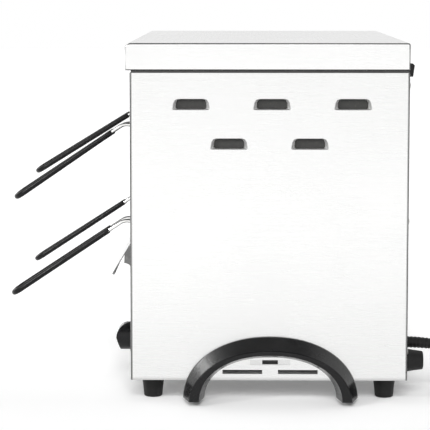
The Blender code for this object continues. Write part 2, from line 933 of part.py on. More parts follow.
def handle_corners(x, z):
    """Bend and tip of the two handle legs: right bend, right tip, left tip, left bend."""
    bend_y = body_front - tong_bend_reach
    tip_y = body_front - tong_reach + grip_radius
    half = tong_leg_spread / 2
    tip_half = tong_tip_spread / 2
    return [Vector((x + half, bend_y, z)), Vector((x + tip_half, tip_y, z - tong_drop)),
            Vector((x - tip_half, tip_y, z - tong_drop)), Vector((x - half, bend_y, z))]


def make_tong_frame(name, column, level, material):
    """Lower cage of one tong: a closed wire that runs on into both handle legs."""
    x = tong_centre_x(column)
    z = tong_level(level)
    half = cage_width / 2
    leg = tong_leg_spread / 2
    front = body_front + cage_setback
    back = front + cage_length
    right = [Vector((x + half, back, z)), Vector((x + half, front, z)), Vector((x + leg, front, z))]
    left = [Vector((x - leg, front, z)), Vector((x - half, front, z)), Vector((x - half, back, z))]
    tip = tong_tip_spread / 2 * tong_tip_round_share
    corners = right + handle_corners(x, z) + left
    radii = [cage_corner, cage_corner, leg_corner, handle_bend, tip, tip, handle_bend, leg_corner,
             cage_corner, cage_corner]
    bm = bmesh.new()
    path = rounded_path(corners, radii, wire_bend_steps, closed=True)
    add_wire(bm, path, tong_wire_radius, closed=True)
    frame = add_object(name, bm, material, smooth_degrees=wire_smooth_degrees)

    rods = bmesh.new()
    rod_z = z + (tong_wire_radius + cage_rod_radius) * weld_share
    end = half + tong_wire_radius
    pivot_y = front + pivot_setback
    add_rod(rods, (x - end, pivot_y, rod_z), (x + end, pivot_y, rod_z), cage_rod_radius)
    for index in range(cage_rod_count):
        y = pivot_y + (back - pivot_y) * (index + 1) / (cage_rod_count + 1)
        add_rod(rods, (x - end, y, rod_z), (x + end, y, rod_z), cage_rod_radius)
    weld(frame, "rods", rods)
    return frame


def jaw_pivot(column, level):
    """Middle of the cross rod that a tong's upper jaw swings on."""
    rod_z = tong_level(level) + (tong_wire_radius + cage_rod_radius) * weld_share
    return Vector((tong_centre_x(column), body_front + cage_setback + pivot_setback, rod_z))


def make_tong_jaw(name, column, level, material):
    """Upper jaw of one tong, closed on the lower cage; its eyes go round the front rod."""
    half = cage_width / 2 - jaw_side_inset
    eye_radius = cage_rod_radius + eye_gap + jaw_wire_radius
    back = cage_length - pivot_setback - jaw_end_inset
    hinge = bpy.data.objects.new(name + "_hinge", None)
    hinge.location = jaw_pivot(column, level)
    bpy.context.scene.collection.objects.link(hinge)

    def eye(x):
        """Points round the rod, from the open end under it up to the jaw's side."""
        ring = arc((0, 0), eye_radius, 90 + 360 - eye_opening_degrees, 90, eye_steps)
        return [Vector((x, y, z)) for y, z in ring[:-1]]

    corners = [Vector((half, 0, eye_radius)), Vector((half, back, eye_radius)),
               Vector((-half, back, eye_radius)), Vector((-half, 0, eye_radius))]
    sides = rounded_path(corners, [0, jaw_corner, jaw_corner, 0], wire_bend_steps)
    bm = bmesh.new()
    add_wire(bm, eye(half) + sides + list(reversed(eye(-half))), jaw_wire_radius)
    jaw = add_object(name, bm, material, smooth_degrees=wire_smooth_degrees)
    jaw.parent = hinge

    rods = bmesh.new()
    rod_z = eye_radius + (jaw_wire_radius + cage_rod_radius) * weld_share
    end = half + jaw_wire_radius
    for index in range(jaw_rod_count):
        y = back * (2 * index + 1) / (2 * jaw_rod_count)
        add_rod(rods, (-end, y, rod_z), (end, y, rod_z), cage_rod_radius)
    weld(jaw, "rods", rods)
    return jaw


def make_tong_grip(name, column, level, material):
    """Black sleeve over both handle legs and round their tip."""
    corners = handle_corners(tong_centre_x(column), tong_level(level))
    straight = tong_reach - grip_radius - tong_bend_reach
    share = (tong_grip_start - tong_bend_reach) / straight
    starts = [corners[0].lerp(corners[1], share), corners[3].lerp(corners[2], share)]
    tip = tong_tip_spread / 2 * tong_tip_round_share
    path = rounded_path([starts[0], corners[1], corners[2], starts[1]], [0, tip, tip, 0], wire_bend_steps)
    bm = bmesh.new()
    add_sleeve(bm, path, grip_radius, tong_wire_radius + grip_bore_gap)
    return add_object(name, bm, material, smooth_degrees=wire_smooth_degrees)


# Crumb tray

def make_crumb_tray(material):
    """Tray under the lower tubes; its tall front closes the grill and bears a lip."""
    half = chamber_half_width - tray_side_gap
    floor = deck_top + clearance
    t = tray_sheet
    front = body_front
    back = chamber_back - tray_back_gap
    top = floor + tray_front_height
    lip_y = front - tray_lip_reach
    lip_z = top - tray_lip_drop
    slope = Vector((-tray_lip_reach, -tray_lip_drop)).normalized()
    inward = Vector((-slope.y, slope.x)) * t
    hem = Vector((-slope.y, slope.x)) * tray_lip_hem
    hem_start = Vector((lip_y, lip_z)) - slope * tray_lip_hem
    rim = floor + tray_wall
    outline = [(back, floor), (back, rim), (back - t, rim), (back - t, floor + t),
               (front + t, floor + t), (front + t, top), (front, top), (lip_y, lip_z),
               (lip_y + hem.x, lip_z + hem.y), (hem_start.x + hem.x, hem_start.y + hem.y),
               (hem_start.x + inward.x, hem_start.y + inward.y), (front, top - 2 * t), (front, floor)]
    bm = bmesh.new()
    add_prism(bm, outline, "X", -half, half)
    tray = add_object("crumb_tray", bm, material)

    ends = bmesh.new()
    for hand in (-1, 1):
        reach = sorted((hand * half, hand * (half - t)))
        low = floor + t / 2
        add_box(ends, (reach[0], front + t / 2, low), (reach[1], back - t / 2, low + tray_wall))
    weld(tray, "side_walls", ends)

    gussets = bmesh.new()
    centre = (front - gusset_reach, floor + gusset_bottom_height)
    start = (front - gusset_reach, floor + gusset_bottom_height + gusset_radius)
    lip_share = gusset_reach / tray_lip_reach
    under = Vector((front, top)) + Vector((-tray_lip_reach, -tray_lip_drop)) * lip_share + inward / 2
    outline = [(front + t / 2, top - 2 * t), (under.x, under.y), start]
    outline += arc(centre, gusset_radius, 90, 0, gusset_steps)[1:]
    outline.append((front + t / 2, floor + gusset_bottom_height))
    for hand in (-1, 1):
        reach = sorted((hand * (half - t / 2), hand * (half - t / 2 - gusset_sheet)))
        add_prism(gussets, outline, "X", reach[0], reach[1])
    weld(tray, "gussets", gussets)
    return tray


# Handles, feet, bumpers and clips

def arch_curve(half, height, power, share):
    """Point on one edge of the arch; share runs from one leg's end to the other's."""
    base = arch_leg_bottom - arch_centre_drop
    start = math.asin(((arch_leg_bottom - base) / (height + arch_centre_drop)) ** (power / 2))
    angle = start + (math.pi - 2 * start) * share
    along = math.copysign(abs(math.cos(angle)) ** (2 / power), math.cos(angle)) * half
    up = base + math.sin(angle) ** (2 / power) * (height + arch_centre_drop)
    return Vector((along, up))


def make_arch_handle(name, side, material):
    """Moulded arch on the side panel, creased along its front, on two legs."""
    rings = []
    for station in range(arch_stations + 1):
        share = station / arch_stations
        outer = arch_curve(arch_half_width, arch_height, arch_outer_power, share)
        inner = arch_curve(arch_inner_half_width, arch_inner_height, arch_inner_power, share)
        rise = math.sin(math.pi * share)
        creases = [leg + (crown - leg) * rise for leg, crown in arch_crease_shares]
        section = [(0, 0), (0, arch_wall), (creases[0], arch_proud), (creases[1], arch_proud),
                   (1, arch_wall), (1, 0)]
        ring = []
        for across, proud in section:
            point = outer.lerp(inner, across)
            face = half_width + clearance + proud
            ring.append(Vector((face * side, arch_middle - point.x, point.y)))
        rings.append(ring)
    bm = bmesh.new()
    add_rings(bm, rings)
    return add_object(name, bm, material, smooth_degrees=moulded_smooth_degrees)


def foot_profile(length):
    """Tapered rubber foot from its seat to its rounded end."""
    step = foot_round * (1 - math.sqrt(0.5))
    return [(0, 0), (0, foot_base_radius), (length - foot_round, foot_end_radius),
            (length - step, foot_end_radius - step),
            (length, foot_end_radius - foot_round), (length, 0)]


def make_foot(name, x, y, material):
    bm = bmesh.new()
    add_turned(bm, foot_profile(body_bottom - clearance), (x, y, body_bottom - clearance), (0, 0, -1))
    return add_object(name, bm, material, smooth_degrees=turned_smooth_degrees)


def make_bumper(name, side, material):
    bm = bmesh.new()
    origin = ((half_width - bumper_inset_x) * side, body_back + clearance, body_bottom + bumper_height)
    add_turned(bm, foot_profile(bumper_length), origin, (0, 1, 0))
    return add_object(name, bm, material, smooth_degrees=turned_smooth_degrees)


def make_clip(name, side, material):
    """Small black clip over the rear seam between the lid and the body."""
    low = lid_bottom - clip_overlap
    high = low + clip_height
    root = body_back + clearance
    outline = [(root, low), (root + clip_tip_thickness, low), (root + clip_thickness, high - clip_chamfer),
               (root + clip_thickness - clip_chamfer, high), (root, high)]
    reach = sorted((side * (half_width - clip_inset_x), side * (half_width - clip_inset_x - clip_width)))
    bm = bmesh.new()
    add_prism(bm, outline, "X", reach[0], reach[1])
    return add_object(name, bm, material)


# Controls

def make_timer_body(material):
    """Clockwork timer behind the panel; its boss comes through to the front."""
    z = control_height()
    back = body_front + sheet + clearance
    bm = bmesh.new()
    add_box(bm, (knob_x - timer_width / 2, back, z - timer_height / 2),
            (knob_x + timer_width / 2, back + timer_depth, z + timer_height / 2))
    body = add_object("timer_body", bm, material)
    boss = bmesh.new()
    tip = clearance - timer_boss - sheet
    add_turned(boss, [(tip, 0), (tip, timer_boss_radius), (timer_boss, timer_boss_radius), (timer_boss, 0)],
               (knob_x, back, z), (0, 1, 0))
    weld(body, "boss", boss)
    bore = bmesh.new()
    radius = shaft_radius + shaft_gap
    start = -timer_boss - sheet - cut_overrun
    add_turned(bore, [(start, 0), (start, radius), (timer_depth / 2, radius), (timer_depth / 2, 0)],
               (knob_x, back, z), (0, 1, 0))
    cut(body, "shaft_bore", bore)
    return body


def make_timer_shaft(material):
    """Shaft from inside the timer into the knob."""
    z = control_height()
    end = sheet + timer_depth / 2
    start = clearance - timer_boss - knob_bore_depth
    hinge = bpy.data.objects.new("timer_axis", None)
    hinge.location = (knob_x, body_front, z)
    bpy.context.scene.collection.objects.link(hinge)
    bm = bmesh.new()
    profile = [(start, 0), (start, shaft_radius), (end, shaft_radius), (end, 0)]
    add_turned(bm, profile, (0, 0, 0), (0, 1, 0))
    shaft = add_object("timer_shaft", bm, material, smooth_degrees=turned_smooth_degrees)
    shaft.parent = hinge
    return hinge


def make_timer_knob(hinge, material):
    """Knob with a round skirt and a drum that is domed above and blunt below."""
    back = -timer_boss
    front = -knob_reach - cut_overrun
    shoulder = back - knob_skirt
    bm = bmesh.new()
    profile = [(back, 0), (back, knob_skirt_radius), (shoulder, knob_skirt_radius - clearance),
               (shoulder, knob_radius), (front, knob_radius), (front, 0)]
    add_turned(bm, profile, (0, 0, 0), (0, 1, 0), knob_sides)
    knob = add_object("timer_knob", bm, material, smooth_degrees=turned_smooth_degrees)
    knob.parent = hinge

    wide = knob_skirt_radius + cut_overrun
    dome_start = shoulder - clearance
    outline = [(back + cut_overrun, -wide), (dome_start, -wide), (dome_start, -knob_radius - cut_overrun),
               (-knob_blunt_reach, -knob_radius - cut_overrun), (-knob_blunt_reach, -knob_radius)]
    outline += arc((knob_radius - knob_reach, 0), knob_radius, 180, 90, knob_dome_steps)
    outline += [(dome_start, knob_radius), (dome_start, wide), (back + cut_overrun, wide)]
    shape = bmesh.new()
    add_prism(shape, outline, "X", -wide, wide)
    combine(knob, "front_shape", shape, "INTERSECT")

    bore = bmesh.new()
    radius = shaft_radius + clearance
    mouth = back + cut_overrun
    end = back - knob_bore_depth
    add_turned(bore, [(mouth, 0), (mouth, radius), (end, radius), (end, 0)], (0, 0, 0), (0, 1, 0))
    cut(knob, "bore", bore)
    return knob


def rocker_x(index):
    return switch_x + (index - 0.5) * switch_pitch


def make_switch_housing(material):
    """Bezel and box for both rocker switches, snapped into the panel."""
    z = control_height()
    front = body_front - clearance
    half_x = bezel_width / 2
    half_z = bezel_height / 2
    bm = bmesh.new()
    add_box(bm, (switch_x - half_x, front - bezel_thickness, z - half_z),
            (switch_x + half_x, front, z + half_z))
    housing = add_object("switch_housing", bm, material)
    box = bmesh.new()
    box_x = half_x - housing_wall
    box_z = half_z - housing_wall
    add_box(box, (switch_x - box_x, front - bezel_thickness / 2, z - box_z),
            (switch_x + box_x, front + housing_depth, z + box_z))
    weld(housing, "box", box)
    wells = bmesh.new()
    pivot = (body_front + rocker_pivot_depth, z)
    radius = rocker_radius + clearance
    mouth_y = front - bezel_thickness
    mouth = math.sqrt(radius ** 2 - (pivot[0] - mouth_y) ** 2)
    mouth_angle = math.degrees(math.asin(mouth / radius))
    floor = pivot[0] + rocker_core + housing_wall
    upper = [(mouth_y - cut_overrun, z + mouth)] + arc(pivot, radius, 180 - mouth_angle, 90, 3)
    upper.append((floor, z + radius))
    outline = upper + [(y, 2 * z - height) for y, height in reversed(upper)]
    for index in range(2):
        x = rocker_x(index)
        wide = rocker_width / 2 + clearance
        add_prism(wells, outline, "X", x - wide, x + wide)
    cut(housing, "wells", wells)
    return housing


def make_rocker(index, material):
    """Rocker with a shallow valley across its face, turning about its middle."""
    hinge = bpy.data.objects.new("rocker_axis_%d" % (index + 1), None)
    hinge.location = (rocker_x(index), body_front + rocker_pivot_depth, control_height())
    hinge.rotation_euler = (math.radians(-rocker_rest_angle), 0, 0)
    bpy.context.scene.collection.objects.link(hinge)
    outline = [(-rocker_valley, 0)]
    outline += arc((0, 0), rocker_radius, 180 - rocker_half_angle, 180 - rocker_skirt_angle, 1)
    outline += [(rocker_core, rocker_core), (rocker_core, -rocker_core)]
    outline += arc((0, 0), rocker_radius, 180 + rocker_skirt_angle, 180 + rocker_half_angle, 1)
    bm = bmesh.new()
    add_prism(bm, outline, "X", -rocker_width / 2, rocker_width / 2)
    rocker = add_object("rocker_%d" % (index + 1), bm, material)
    rocker.parent = hinge
    return rocker


def make_pilot_lamp(material):
    bm = bmesh.new()
    flange = -clearance
    dome = flange - lamp_flange - lamp_dome
    rim = flange - lamp_flange
    profile = [(lamp_body, 0), (lamp_body, lamp_radius), (flange, lamp_radius), (flange, lamp_flange_radius),
               (rim, lamp_flange_radius - lamp_flange / 2), (rim, lamp_radius)]
    profile += [(rim - lamp_dome * math.cos(math.radians(a)), lamp_radius * math.sin(math.radians(a)))
                for a in lamp_dome_angles]
    profile.append((dome, 0))
    add_turned(bm, profile, (lamp_x, body_front, control_height()), (0, 1, 0))
    return add_object("pilot_lamp", bm, material, smooth_degrees=turned_smooth_degrees)


def make_terminal_block(material):
    """Stepped block on the base plate where the cord is wired in."""
    floor = body_bottom + sheet + clearance
    y = body_back - terminal_back_gap
    half = terminal_width / 2
    outline = [(y - half, floor), (y + half, floor), (y + half, floor + terminal_height - terminal_step),
               (y + half - terminal_step, floor + terminal_height - terminal_step),
               (y + half - terminal_step, floor + terminal_height),
               (y - half + terminal_step, floor + terminal_height),
               (y - half + terminal_step, floor + terminal_height - terminal_step),
               (y - half, floor + terminal_height - terminal_step)]
    bm = bmesh.new()
    add_prism(bm, outline, "X", terminal_x - terminal_length / 2, terminal_x + terminal_length / 2)
    return add_object("terminal_block", bm, material)


# Mains cord

def boot_point(share):
    """Point on the strain relief's axis, which droops more towards its end."""
    droop = math.tan(math.radians(boot_droop_degrees)) * boot_length / 2
    return Vector((boot_x, cord_exit_y + boot_length * share, cord_exit_z - droop * share * share))


def boot_end_direction():
    """Direction in which the cord leaves the strain relief."""
    angle = math.radians(boot_droop_degrees)
    return Vector((0, math.cos(angle), -math.sin(angle)))


def make_strain_relief(material):
    """Tapered boot with a flange outside and a neck inside the back panel."""
    inside = -sheet - 2 * clearance - boot_neck
    places = [inside, -clearance / 2, 0, boot_flange, boot_flange + clearance]
    path = [Vector((boot_x, cord_exit_y + place, cord_exit_z)) for place in places]
    radii = [boot_neck_radius, boot_neck_radius, boot_flange_radius, boot_flange_radius, boot_root_radius]
    steps = boot_grooves * 2 + 1
    for step in range(1, steps + 1):
        share = boot_straight_share + (1 - boot_straight_share) * step / steps
        radius = boot_root_radius + (boot_end_radius - boot_root_radius) * share
        if step % 2 == 0:
            radius -= boot_groove_depth
        path.append(boot_point(share))
        radii.append(radius)
    bm = bmesh.new()
    add_wire(bm, path, radii, boot_sides)
    return add_object("strain_relief", bm, material, smooth_degrees=boot_smooth_degrees)


def coil_centre():
    return Vector((boot_x - coil_outer_radius, body_back + coil_centre_reach, 0))


def cord_lead_route(end):
    """The free stretch: points chosen by hand, as shares of the way out and of the drop."""
    start = boot_point(1) + boot_end_direction() * clearance
    route = [start, start + boot_end_direction() * 2 * cord_radius]
    for along, up in cord_lead_shares:
        route.append(Vector((boot_x, start.y + (end.y - start.y) * along, end.z + (start.z - end.z) * up)))
    return route + [end - Vector((0, 2 * cord_radius, 0)), end]


def path_length(path):
    return sum((b - a).length for a, b in zip(path, path[1:]))


def smooth_curve(points, spacing):
    """Points at an even spacing on a smooth curve through the given ones."""
    dense = []
    for index in range(len(points) - 1):
        before = points[max(index - 1, 0)]
        start = points[index]
        end = points[index + 1]
        after = points[min(index + 2, len(points) - 1)]
        for step in range(curve_steps):
            t = step / curve_steps
            bend = 2 * before - 5 * start + 4 * end - after
            twist = 3 * start - before - 3 * end + after
            dense.append(start + ((end - before) * t + bend * t ** 2 + twist * t ** 3) / 2)
    dense.append(points[-1])
    count = round(path_length(dense) / spacing)
    pace = path_length(dense) / count
    route = [dense[0]]
    travelled = 0
    for a, b in zip(dense, dense[1:]):
        step = (b - a).length
        while len(route) < count and travelled + step >= pace * len(route):
            route.append(a.lerp(b, (pace * len(route) - travelled) / step))
        travelled += step
    return route + [dense[-1]]


def coil_path():
    """The coiled length: a spiral inwards below, then outwards on top of it."""
    centre = coil_centre()
    base = cord_radius + cord_floor_gap
    turns = coil_turns_in + coil_turns_out
    count = round(turns * coil_points_a_turn)
    climb_start = coil_turns_in - coil_climb_turns / 2
    path = []
    for index in range(count + 1):
        turn = turns * index / count
        inward = turn if turn <= coil_turns_in else 2 * coil_turns_in - turn
        radius = coil_outer_radius - coil_pitch * inward
        climb = min(max((turn - climb_start) / coil_climb_turns, 0), 1)
        height = base + coil_pitch * climb * climb * (3 - 2 * climb)
        angle = 2 * math.pi * turn
        path.append(centre + Vector((radius * math.cos(angle), radius * math.sin(angle), height)))
    start = path[0] - Vector((0, 2 * cord_radius, 0))
    return [start] + path + coil_tail_points(path[-1])


def coil_tail_points(leaving):
    """The end of the coiled length, which lifts to the plug's axis as it leaves."""
    points = []
    run = coil_tail - 2 * cord_radius
    for step in range(1, coil_tail_steps + 1):
        share = step / coil_tail_steps
        lift = (plug_axis_height - leaving.z) * share * share * (3 - 2 * share)
        points.append(leaving + Vector((-run * share, 0, lift)))
    return points + [points[-1] - Vector((2 * cord_radius, 0, 0))]


def least_self_gap(path, radius):
    """Least distance between surfaces of a tube's turns, measured on its points."""
    least = None
    near = math.ceil(coil_points_a_turn / 3)
    for index, here in enumerate(path):
        for other in range(index + near, len(path) - 1):
            a = path[other]
            along = path[other + 1] - a
            share = min(max((here - a).dot(along) / along.length_squared, 0), 1)
            gap = (a + along * share - here).length - 2 * radius
            least = gap if least is None else min(least, gap)
    return least


def add_cord(name, path, resolution, material):
    """A cord as a bevelled curve through the given points."""
    curve = bpy.data.curves.new(name, "CURVE")
    curve.dimensions = "3D"
    curve.bevel_depth = cord_radius
    curve.bevel_resolution = resolution
    curve.use_fill_caps = True
    curve.materials.append(material)
    spline = curve.splines.new("POLY")
    spline.points.add(len(path) - 1)
    for point, place in zip(spline.points, path):
        point.co = (*place, 1.0)
    item = bpy.data.objects.new(name, curve)
    bpy.context.scene.collection.objects.link(item)
    return item


def make_cord(materials):
    """Lead from the strain relief to the table, the coil, and the plug beside it."""
    coil = coil_path()
    lead = cord_lead_route(coil[0] - Vector((0, clearance, 0)))
    add_cord("cord_lead", smooth_curve(lead, 2 * cord_radius), 2, materials["black_rubber"])
    add_cord("cord_coil", coil, 1, materials["black_rubber"])
    gap = least_self_gap(coil, cord_radius)
    print("least gap of the coil to itself: %.2f mm" % (gap * 1000))
    length = path_length(coil) + path_length(lead)
    print("cord length without strain relief and plug: %.3f m" % length)

    end = coil[-1]
    start = Vector((end.x - clearance, end.y, end.z))
    neck = plug_neck
    grip = neck + plug_grip
    face = grip + plug_face
    profile = [(0, 0), (0, plug_neck_radius), (neck, plug_neck_end_radius),
               (neck + clearance, plug_grip_radius), (grip, plug_grip_radius),
               (grip + clearance, plug_face_radius), (face, plug_face_radius), (face, 0)]
    bm = bmesh.new()
    add_turned(bm, profile, start, (-1, 0, 0))
    plug = add_object("plug", bm, materials["black_rubber"], smooth_degrees=turned_smooth_degrees)
    pins = bmesh.new()
    for hand in (-1, 1):
        add_turned(pins, [(face - cut_overrun, 0), (face - cut_overrun, plug_pin_radius),
                          (face + plug_pin_length - plug_pin_radius / 2, plug_pin_radius),
                          (face + plug_pin_length, plug_pin_radius / 2), (face + plug_pin_length, 0)],
                   start + Vector((0, hand * plug_pin_pitch / 2, 0)), (-1, 0, 0), pin_sides)
    weld(plug, "pins", pins)


# Assembly

def clear_scene():
    for item in list(bpy.data.objects):
        bpy.data.objects.remove(item, do_unlink=True)


def build():
    clear_scene()
    m = make_materials()
    make_base_plate(m["satin_steel"])
    make_side_panel("side_panel_right", 1, m["satin_steel"])
    make_side_panel("side_panel_left", -1, m["satin_steel"])
    make_back_panel(m["satin_steel"])
    make_lid(m["satin_steel"])
    make_top_pan(m["dull_steel"])
    make_rail("front_lintel", body_top - lintel_height, body_top, m["satin_steel"])
    rail_low = middle_row_z - mid_rail_drop
    make_rail("mid_rail", rail_low, rail_low + mid_rail_height, m["satin_steel"])
    make_control_panel(m["satin_steel"])
    make_liner("liner_right", 1, m["bright_steel"])
    make_liner("liner_left", -1, m["bright_steel"])
    make_back_liner(m["bright_steel"])
    make_deck(m["dull_steel"])
    make_element_bracket("element_bracket_right", 1, m["ceramic"])
    make_element_bracket("element_bracket_left", -1, m["ceramic"])
    for number, (y, z) in enumerate(tube_places()):
        make_heating_tube("heating_tube_%d" % (number + 1), y, z, m["quartz"])
    make_rack("rack_lower", 0, m["bright_steel"])
    make_rack("rack_upper", 1, m["bright_steel"])
    number = 0
    for level in range(2):
        for column in range(2):
            number += 1
            make_tong_frame("tong_%d_frame" % number, column, level, m["bright_steel"])
            make_tong_jaw("tong_%d_jaw" % number, column, level, m["bright_steel"])
            make_tong_grip("tong_%d_grip" % number, column, level, m["black_plastic"])
    make_crumb_tray(m["bright_steel"])
    for name, side in (("right", 1), ("left", -1)):
        make_arch_handle("arch_handle_" + name, side, m["black_plastic"])
        make_bumper("rear_bumper_" + name, side, m["black_rubber"])
        make_clip("lid_clip_" + name, side, m["black_plastic"])
        make_foot("foot_front_" + name, (half_width - foot_inset_x) * side, body_front + foot_inset_y,
                  m["black_rubber"])
        make_foot("foot_rear_" + name, (half_width - foot_inset_x) * side, body_back - foot_inset_y,
                  m["black_rubber"])
    make_timer_body(m["black_plastic"])
    hinge = make_timer_shaft(m["dull_steel"])
    make_timer_knob(hinge, m["black_plastic"])
    make_switch_housing(m["black_plastic"])
    for index in range(2):
        make_rocker(index, m["black_plastic"])
    make_pilot_lamp(m["red_lens"])
    make_terminal_block(m["black_plastic"])
    make_strain_relief(m["black_rubber"])
    make_cord(m)


build()
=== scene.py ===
"""Looks of the two-level salamander grill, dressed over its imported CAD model.

Metres, in the model's own frame: +Z up, the front faces -Y, the knob is on the +X side.
"""

import json
import math

import bmesh
import bpy
from mathutils import Matrix, Vector


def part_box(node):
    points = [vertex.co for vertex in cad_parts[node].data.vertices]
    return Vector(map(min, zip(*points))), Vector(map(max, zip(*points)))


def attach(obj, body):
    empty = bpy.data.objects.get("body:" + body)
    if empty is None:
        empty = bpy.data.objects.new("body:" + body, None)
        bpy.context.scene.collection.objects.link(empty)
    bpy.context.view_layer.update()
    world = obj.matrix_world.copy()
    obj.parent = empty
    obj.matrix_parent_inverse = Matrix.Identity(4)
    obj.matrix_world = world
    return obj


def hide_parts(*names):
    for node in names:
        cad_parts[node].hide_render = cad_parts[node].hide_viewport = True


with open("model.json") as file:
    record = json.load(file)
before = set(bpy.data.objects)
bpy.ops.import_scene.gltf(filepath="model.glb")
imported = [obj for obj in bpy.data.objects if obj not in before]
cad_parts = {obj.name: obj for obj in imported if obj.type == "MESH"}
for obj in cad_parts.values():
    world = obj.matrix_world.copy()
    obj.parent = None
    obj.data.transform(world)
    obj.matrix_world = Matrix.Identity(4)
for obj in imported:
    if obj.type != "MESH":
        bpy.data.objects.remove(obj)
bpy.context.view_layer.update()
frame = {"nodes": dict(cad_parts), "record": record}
nodes = frame["nodes"]

# Places read from the model
panel_low, panel_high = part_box("side_panel_right")
half_width = panel_high.x
body_front = panel_low.y
body_back = panel_high.y
body_bottom = panel_low.z
body_top = panel_high.z
body_middle = (body_front + body_back) / 2
deck_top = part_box("deck_plate")[1].z
chamber_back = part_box("liner_back")[0].y
chamber_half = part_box("liner_right")[0].x
lid_low, lid_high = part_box("top_cover")
sheet = 0.0012
gap = 0.0003
hands = (("right", 1), ("left", -1))


def add_object(name, data):
    """Put a new object into the scene."""
    item = bpy.data.objects.new(name, data)
    bpy.context.scene.collection.objects.link(item)
    return item


# Camera

camera_drop = 5.58
camera_turn = 0.905
camera_data = bpy.data.cameras.new("camera")
camera_data.sensor_width = 36
camera_data.lens = 154.9
camera_data.shift_y = -0.12
camera_data.clip_end = 100
camera = add_object("camera", camera_data)
camera.location = (1.9324, 0.0293, 0.3924)
camera.rotation_euler = (math.radians(90 - camera_drop), 0, math.radians(90 + camera_turn))
bpy.context.scene.camera = camera
bpy.context.scene.view_settings.view_transform = "Standard"


# Shapes

def piece(name, bm, body, slot, material, smooth=40, replaces=()):
    """Turn a bmesh into a named piece that rides on a body and may stand for nodes."""
    bmesh.ops.recalc_face_normals(bm, faces=bm.faces)
    mesh = bpy.data.meshes.new(name)
    bm.to_mesh(mesh)
    bm.free()
    mesh.shade_smooth()
    mesh.set_sharp_from_angle(angle=math.radians(smooth))
    mesh.materials.append(material)
    item = add_object(name, mesh)
    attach(item, body)
    if replaces:
        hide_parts(*replaces)
    return item


def level_shading(item):
    """Keep large flat faces evenly shaded beside their small rounded edges."""
    modifier = item.modifiers.new("even_normals", "WEIGHTED_NORMAL")
    modifier.weight = 100
    modifier.keep_sharp = True


def rings(bm, loops, closed=False):
    """Skin a row of equal loops of points, with a cap on each end unless the row is closed."""
    made = [[bm.verts.new(p) for p in loop] for loop in loops]
    count = len(made[0])
    for index in range(len(made) if closed else len(made) - 1):
        here, there = made[index], made[(index + 1) % len(made)]
        for side in range(count):
            after = (side + 1) % count
            bm.faces.new((here[side], here[after], there[after], there[side]))
    if not closed:
        bm.faces.new(list(reversed(made[0])))
        bm.faces.new(made[-1])


def square_to(axis):
    """A unit vector square to an axis, upright where that can be."""
    helper = Vector((0, 0, 1)) if abs(axis.z) < 0.7 else Vector((0, 1, 0))
    return (helper - axis * helper.dot(axis)).normalized()


def circle(centre, first, second, radius, sides):
    """Points round a centre, in the plane of two unit vectors."""
    angles = [2 * math.pi * (side + 0.5) / sides for side in range(sides)]
    return [centre + (first * math.cos(a) + second * math.sin(a)) * radius for a in angles]


def path_frames(path, closed=False):
    """Each point of a path with two directions square to it, which turn as little as they can."""
    count = len(path)
    frames = []
    normal = None
    for index in range(count):
        before = path[index - 1] if index or closed else path[0]
        after = path[(index + 1) % count] if index < count - 1 or closed else path[-1]
        tangent = (after - before).normalized()
        if normal is None:
            normal = square_to(tangent)
        else:
            normal = (normal - tangent * normal.dot(tangent)).normalized()
        frames.append((path[index], normal.copy(), tangent.cross(normal)))
    return frames


def wire(bm, path, radii, sides=14, closed=False):
    """A round wire along a path, of one radius or one at each point."""
    loops = []
    for index, (centre, normal, across) in enumerate(path_frames(path, closed)):
        radius = radii[index] if isinstance(radii, list) else radii
        loops.append(circle(centre, normal, across, radius, sides))
    rings(bm, loops, closed)


def rod(bm, start, end, radius, sides=14):
    """A straight wire with slightly rounded ends."""
    start, end = Vector(start), Vector(end)
    along = (end - start).normalized() * radius * 0.4
    narrow = radius * 0.75
    wire(bm, [start, start + along, end - along, end], [narrow, radius, radius, narrow], sides)


def turned(bm, profile, origin, axis, sides=48):
    """Turn (along, radius) pairs round an axis. A radius of zero closes the shape."""
    axis = Vector(axis)
    first = square_to(axis)
    second = axis.cross(first)
    loops = []
    for along, radius in profile:
        centre = Vector(origin) + axis * along
        points = circle(centre, first, second, radius, sides) if radius else [centre]
        loops.append([bm.verts.new(p) for p in points])
    for here, there in zip(loops, loops[1:]):
        for side in range(sides):
            after = (side + 1) % sides
            if len(here) == 1:
                bm.faces.new((here[0], there[after], there[side]))
            elif len(there) == 1:
                bm.faces.new((here[side], here[after], there[0]))
            else:
                bm.faces.new((here[side], here[after], there[after], there[side]))


def box(bm, low, high):
    """A plain block between two corners."""
    outline = ((low[0], low[1]), (high[0], low[1]), (high[0], high[1]), (low[0], high[1]))
    rings(bm, [[Vector((x, y, z)) for x, y in outline] for z in (low[2], high[2])])


def arc(centre, radius, start, end, steps):
    """Points of an arc in a plane, its angles in degrees."""
    angles = [math.radians(start + (end - start) * step / steps) for step in range(steps + 1)]
    return [(centre[0] + radius * math.cos(a), centre[1] + radius * math.sin(a)) for a in angles]


def rounded_path(corners, radii, steps, closed=False):
    """A path through corners in space, each rounded to its radius."""
    count = len(corners)
    path = []
    for index in range(count):
        point, radius = corners[index], radii[index]
        if radius == 0 or (not closed and index in (0, count - 1)):
            path.append(point)
            continue
        back = (corners[index - 1] - point).normalized()
        ahead = (corners[(index + 1) % count] - point).normalized()
        opening = back.angle(ahead)
        reach = radius / math.tan(opening / 2)
        middle = point + (back + ahead).normalized() * radius / math.sin(opening / 2)
        first = (point + back * reach - middle).normalized()
        turn = first.cross((point + ahead * reach - middle).normalized()).normalized()
        for step in range(steps + 1):
            spin = Matrix.Rotation((math.pi - opening) * step / steps, 3, turn)
            path.append(middle + (spin @ first) * radius)
    return path


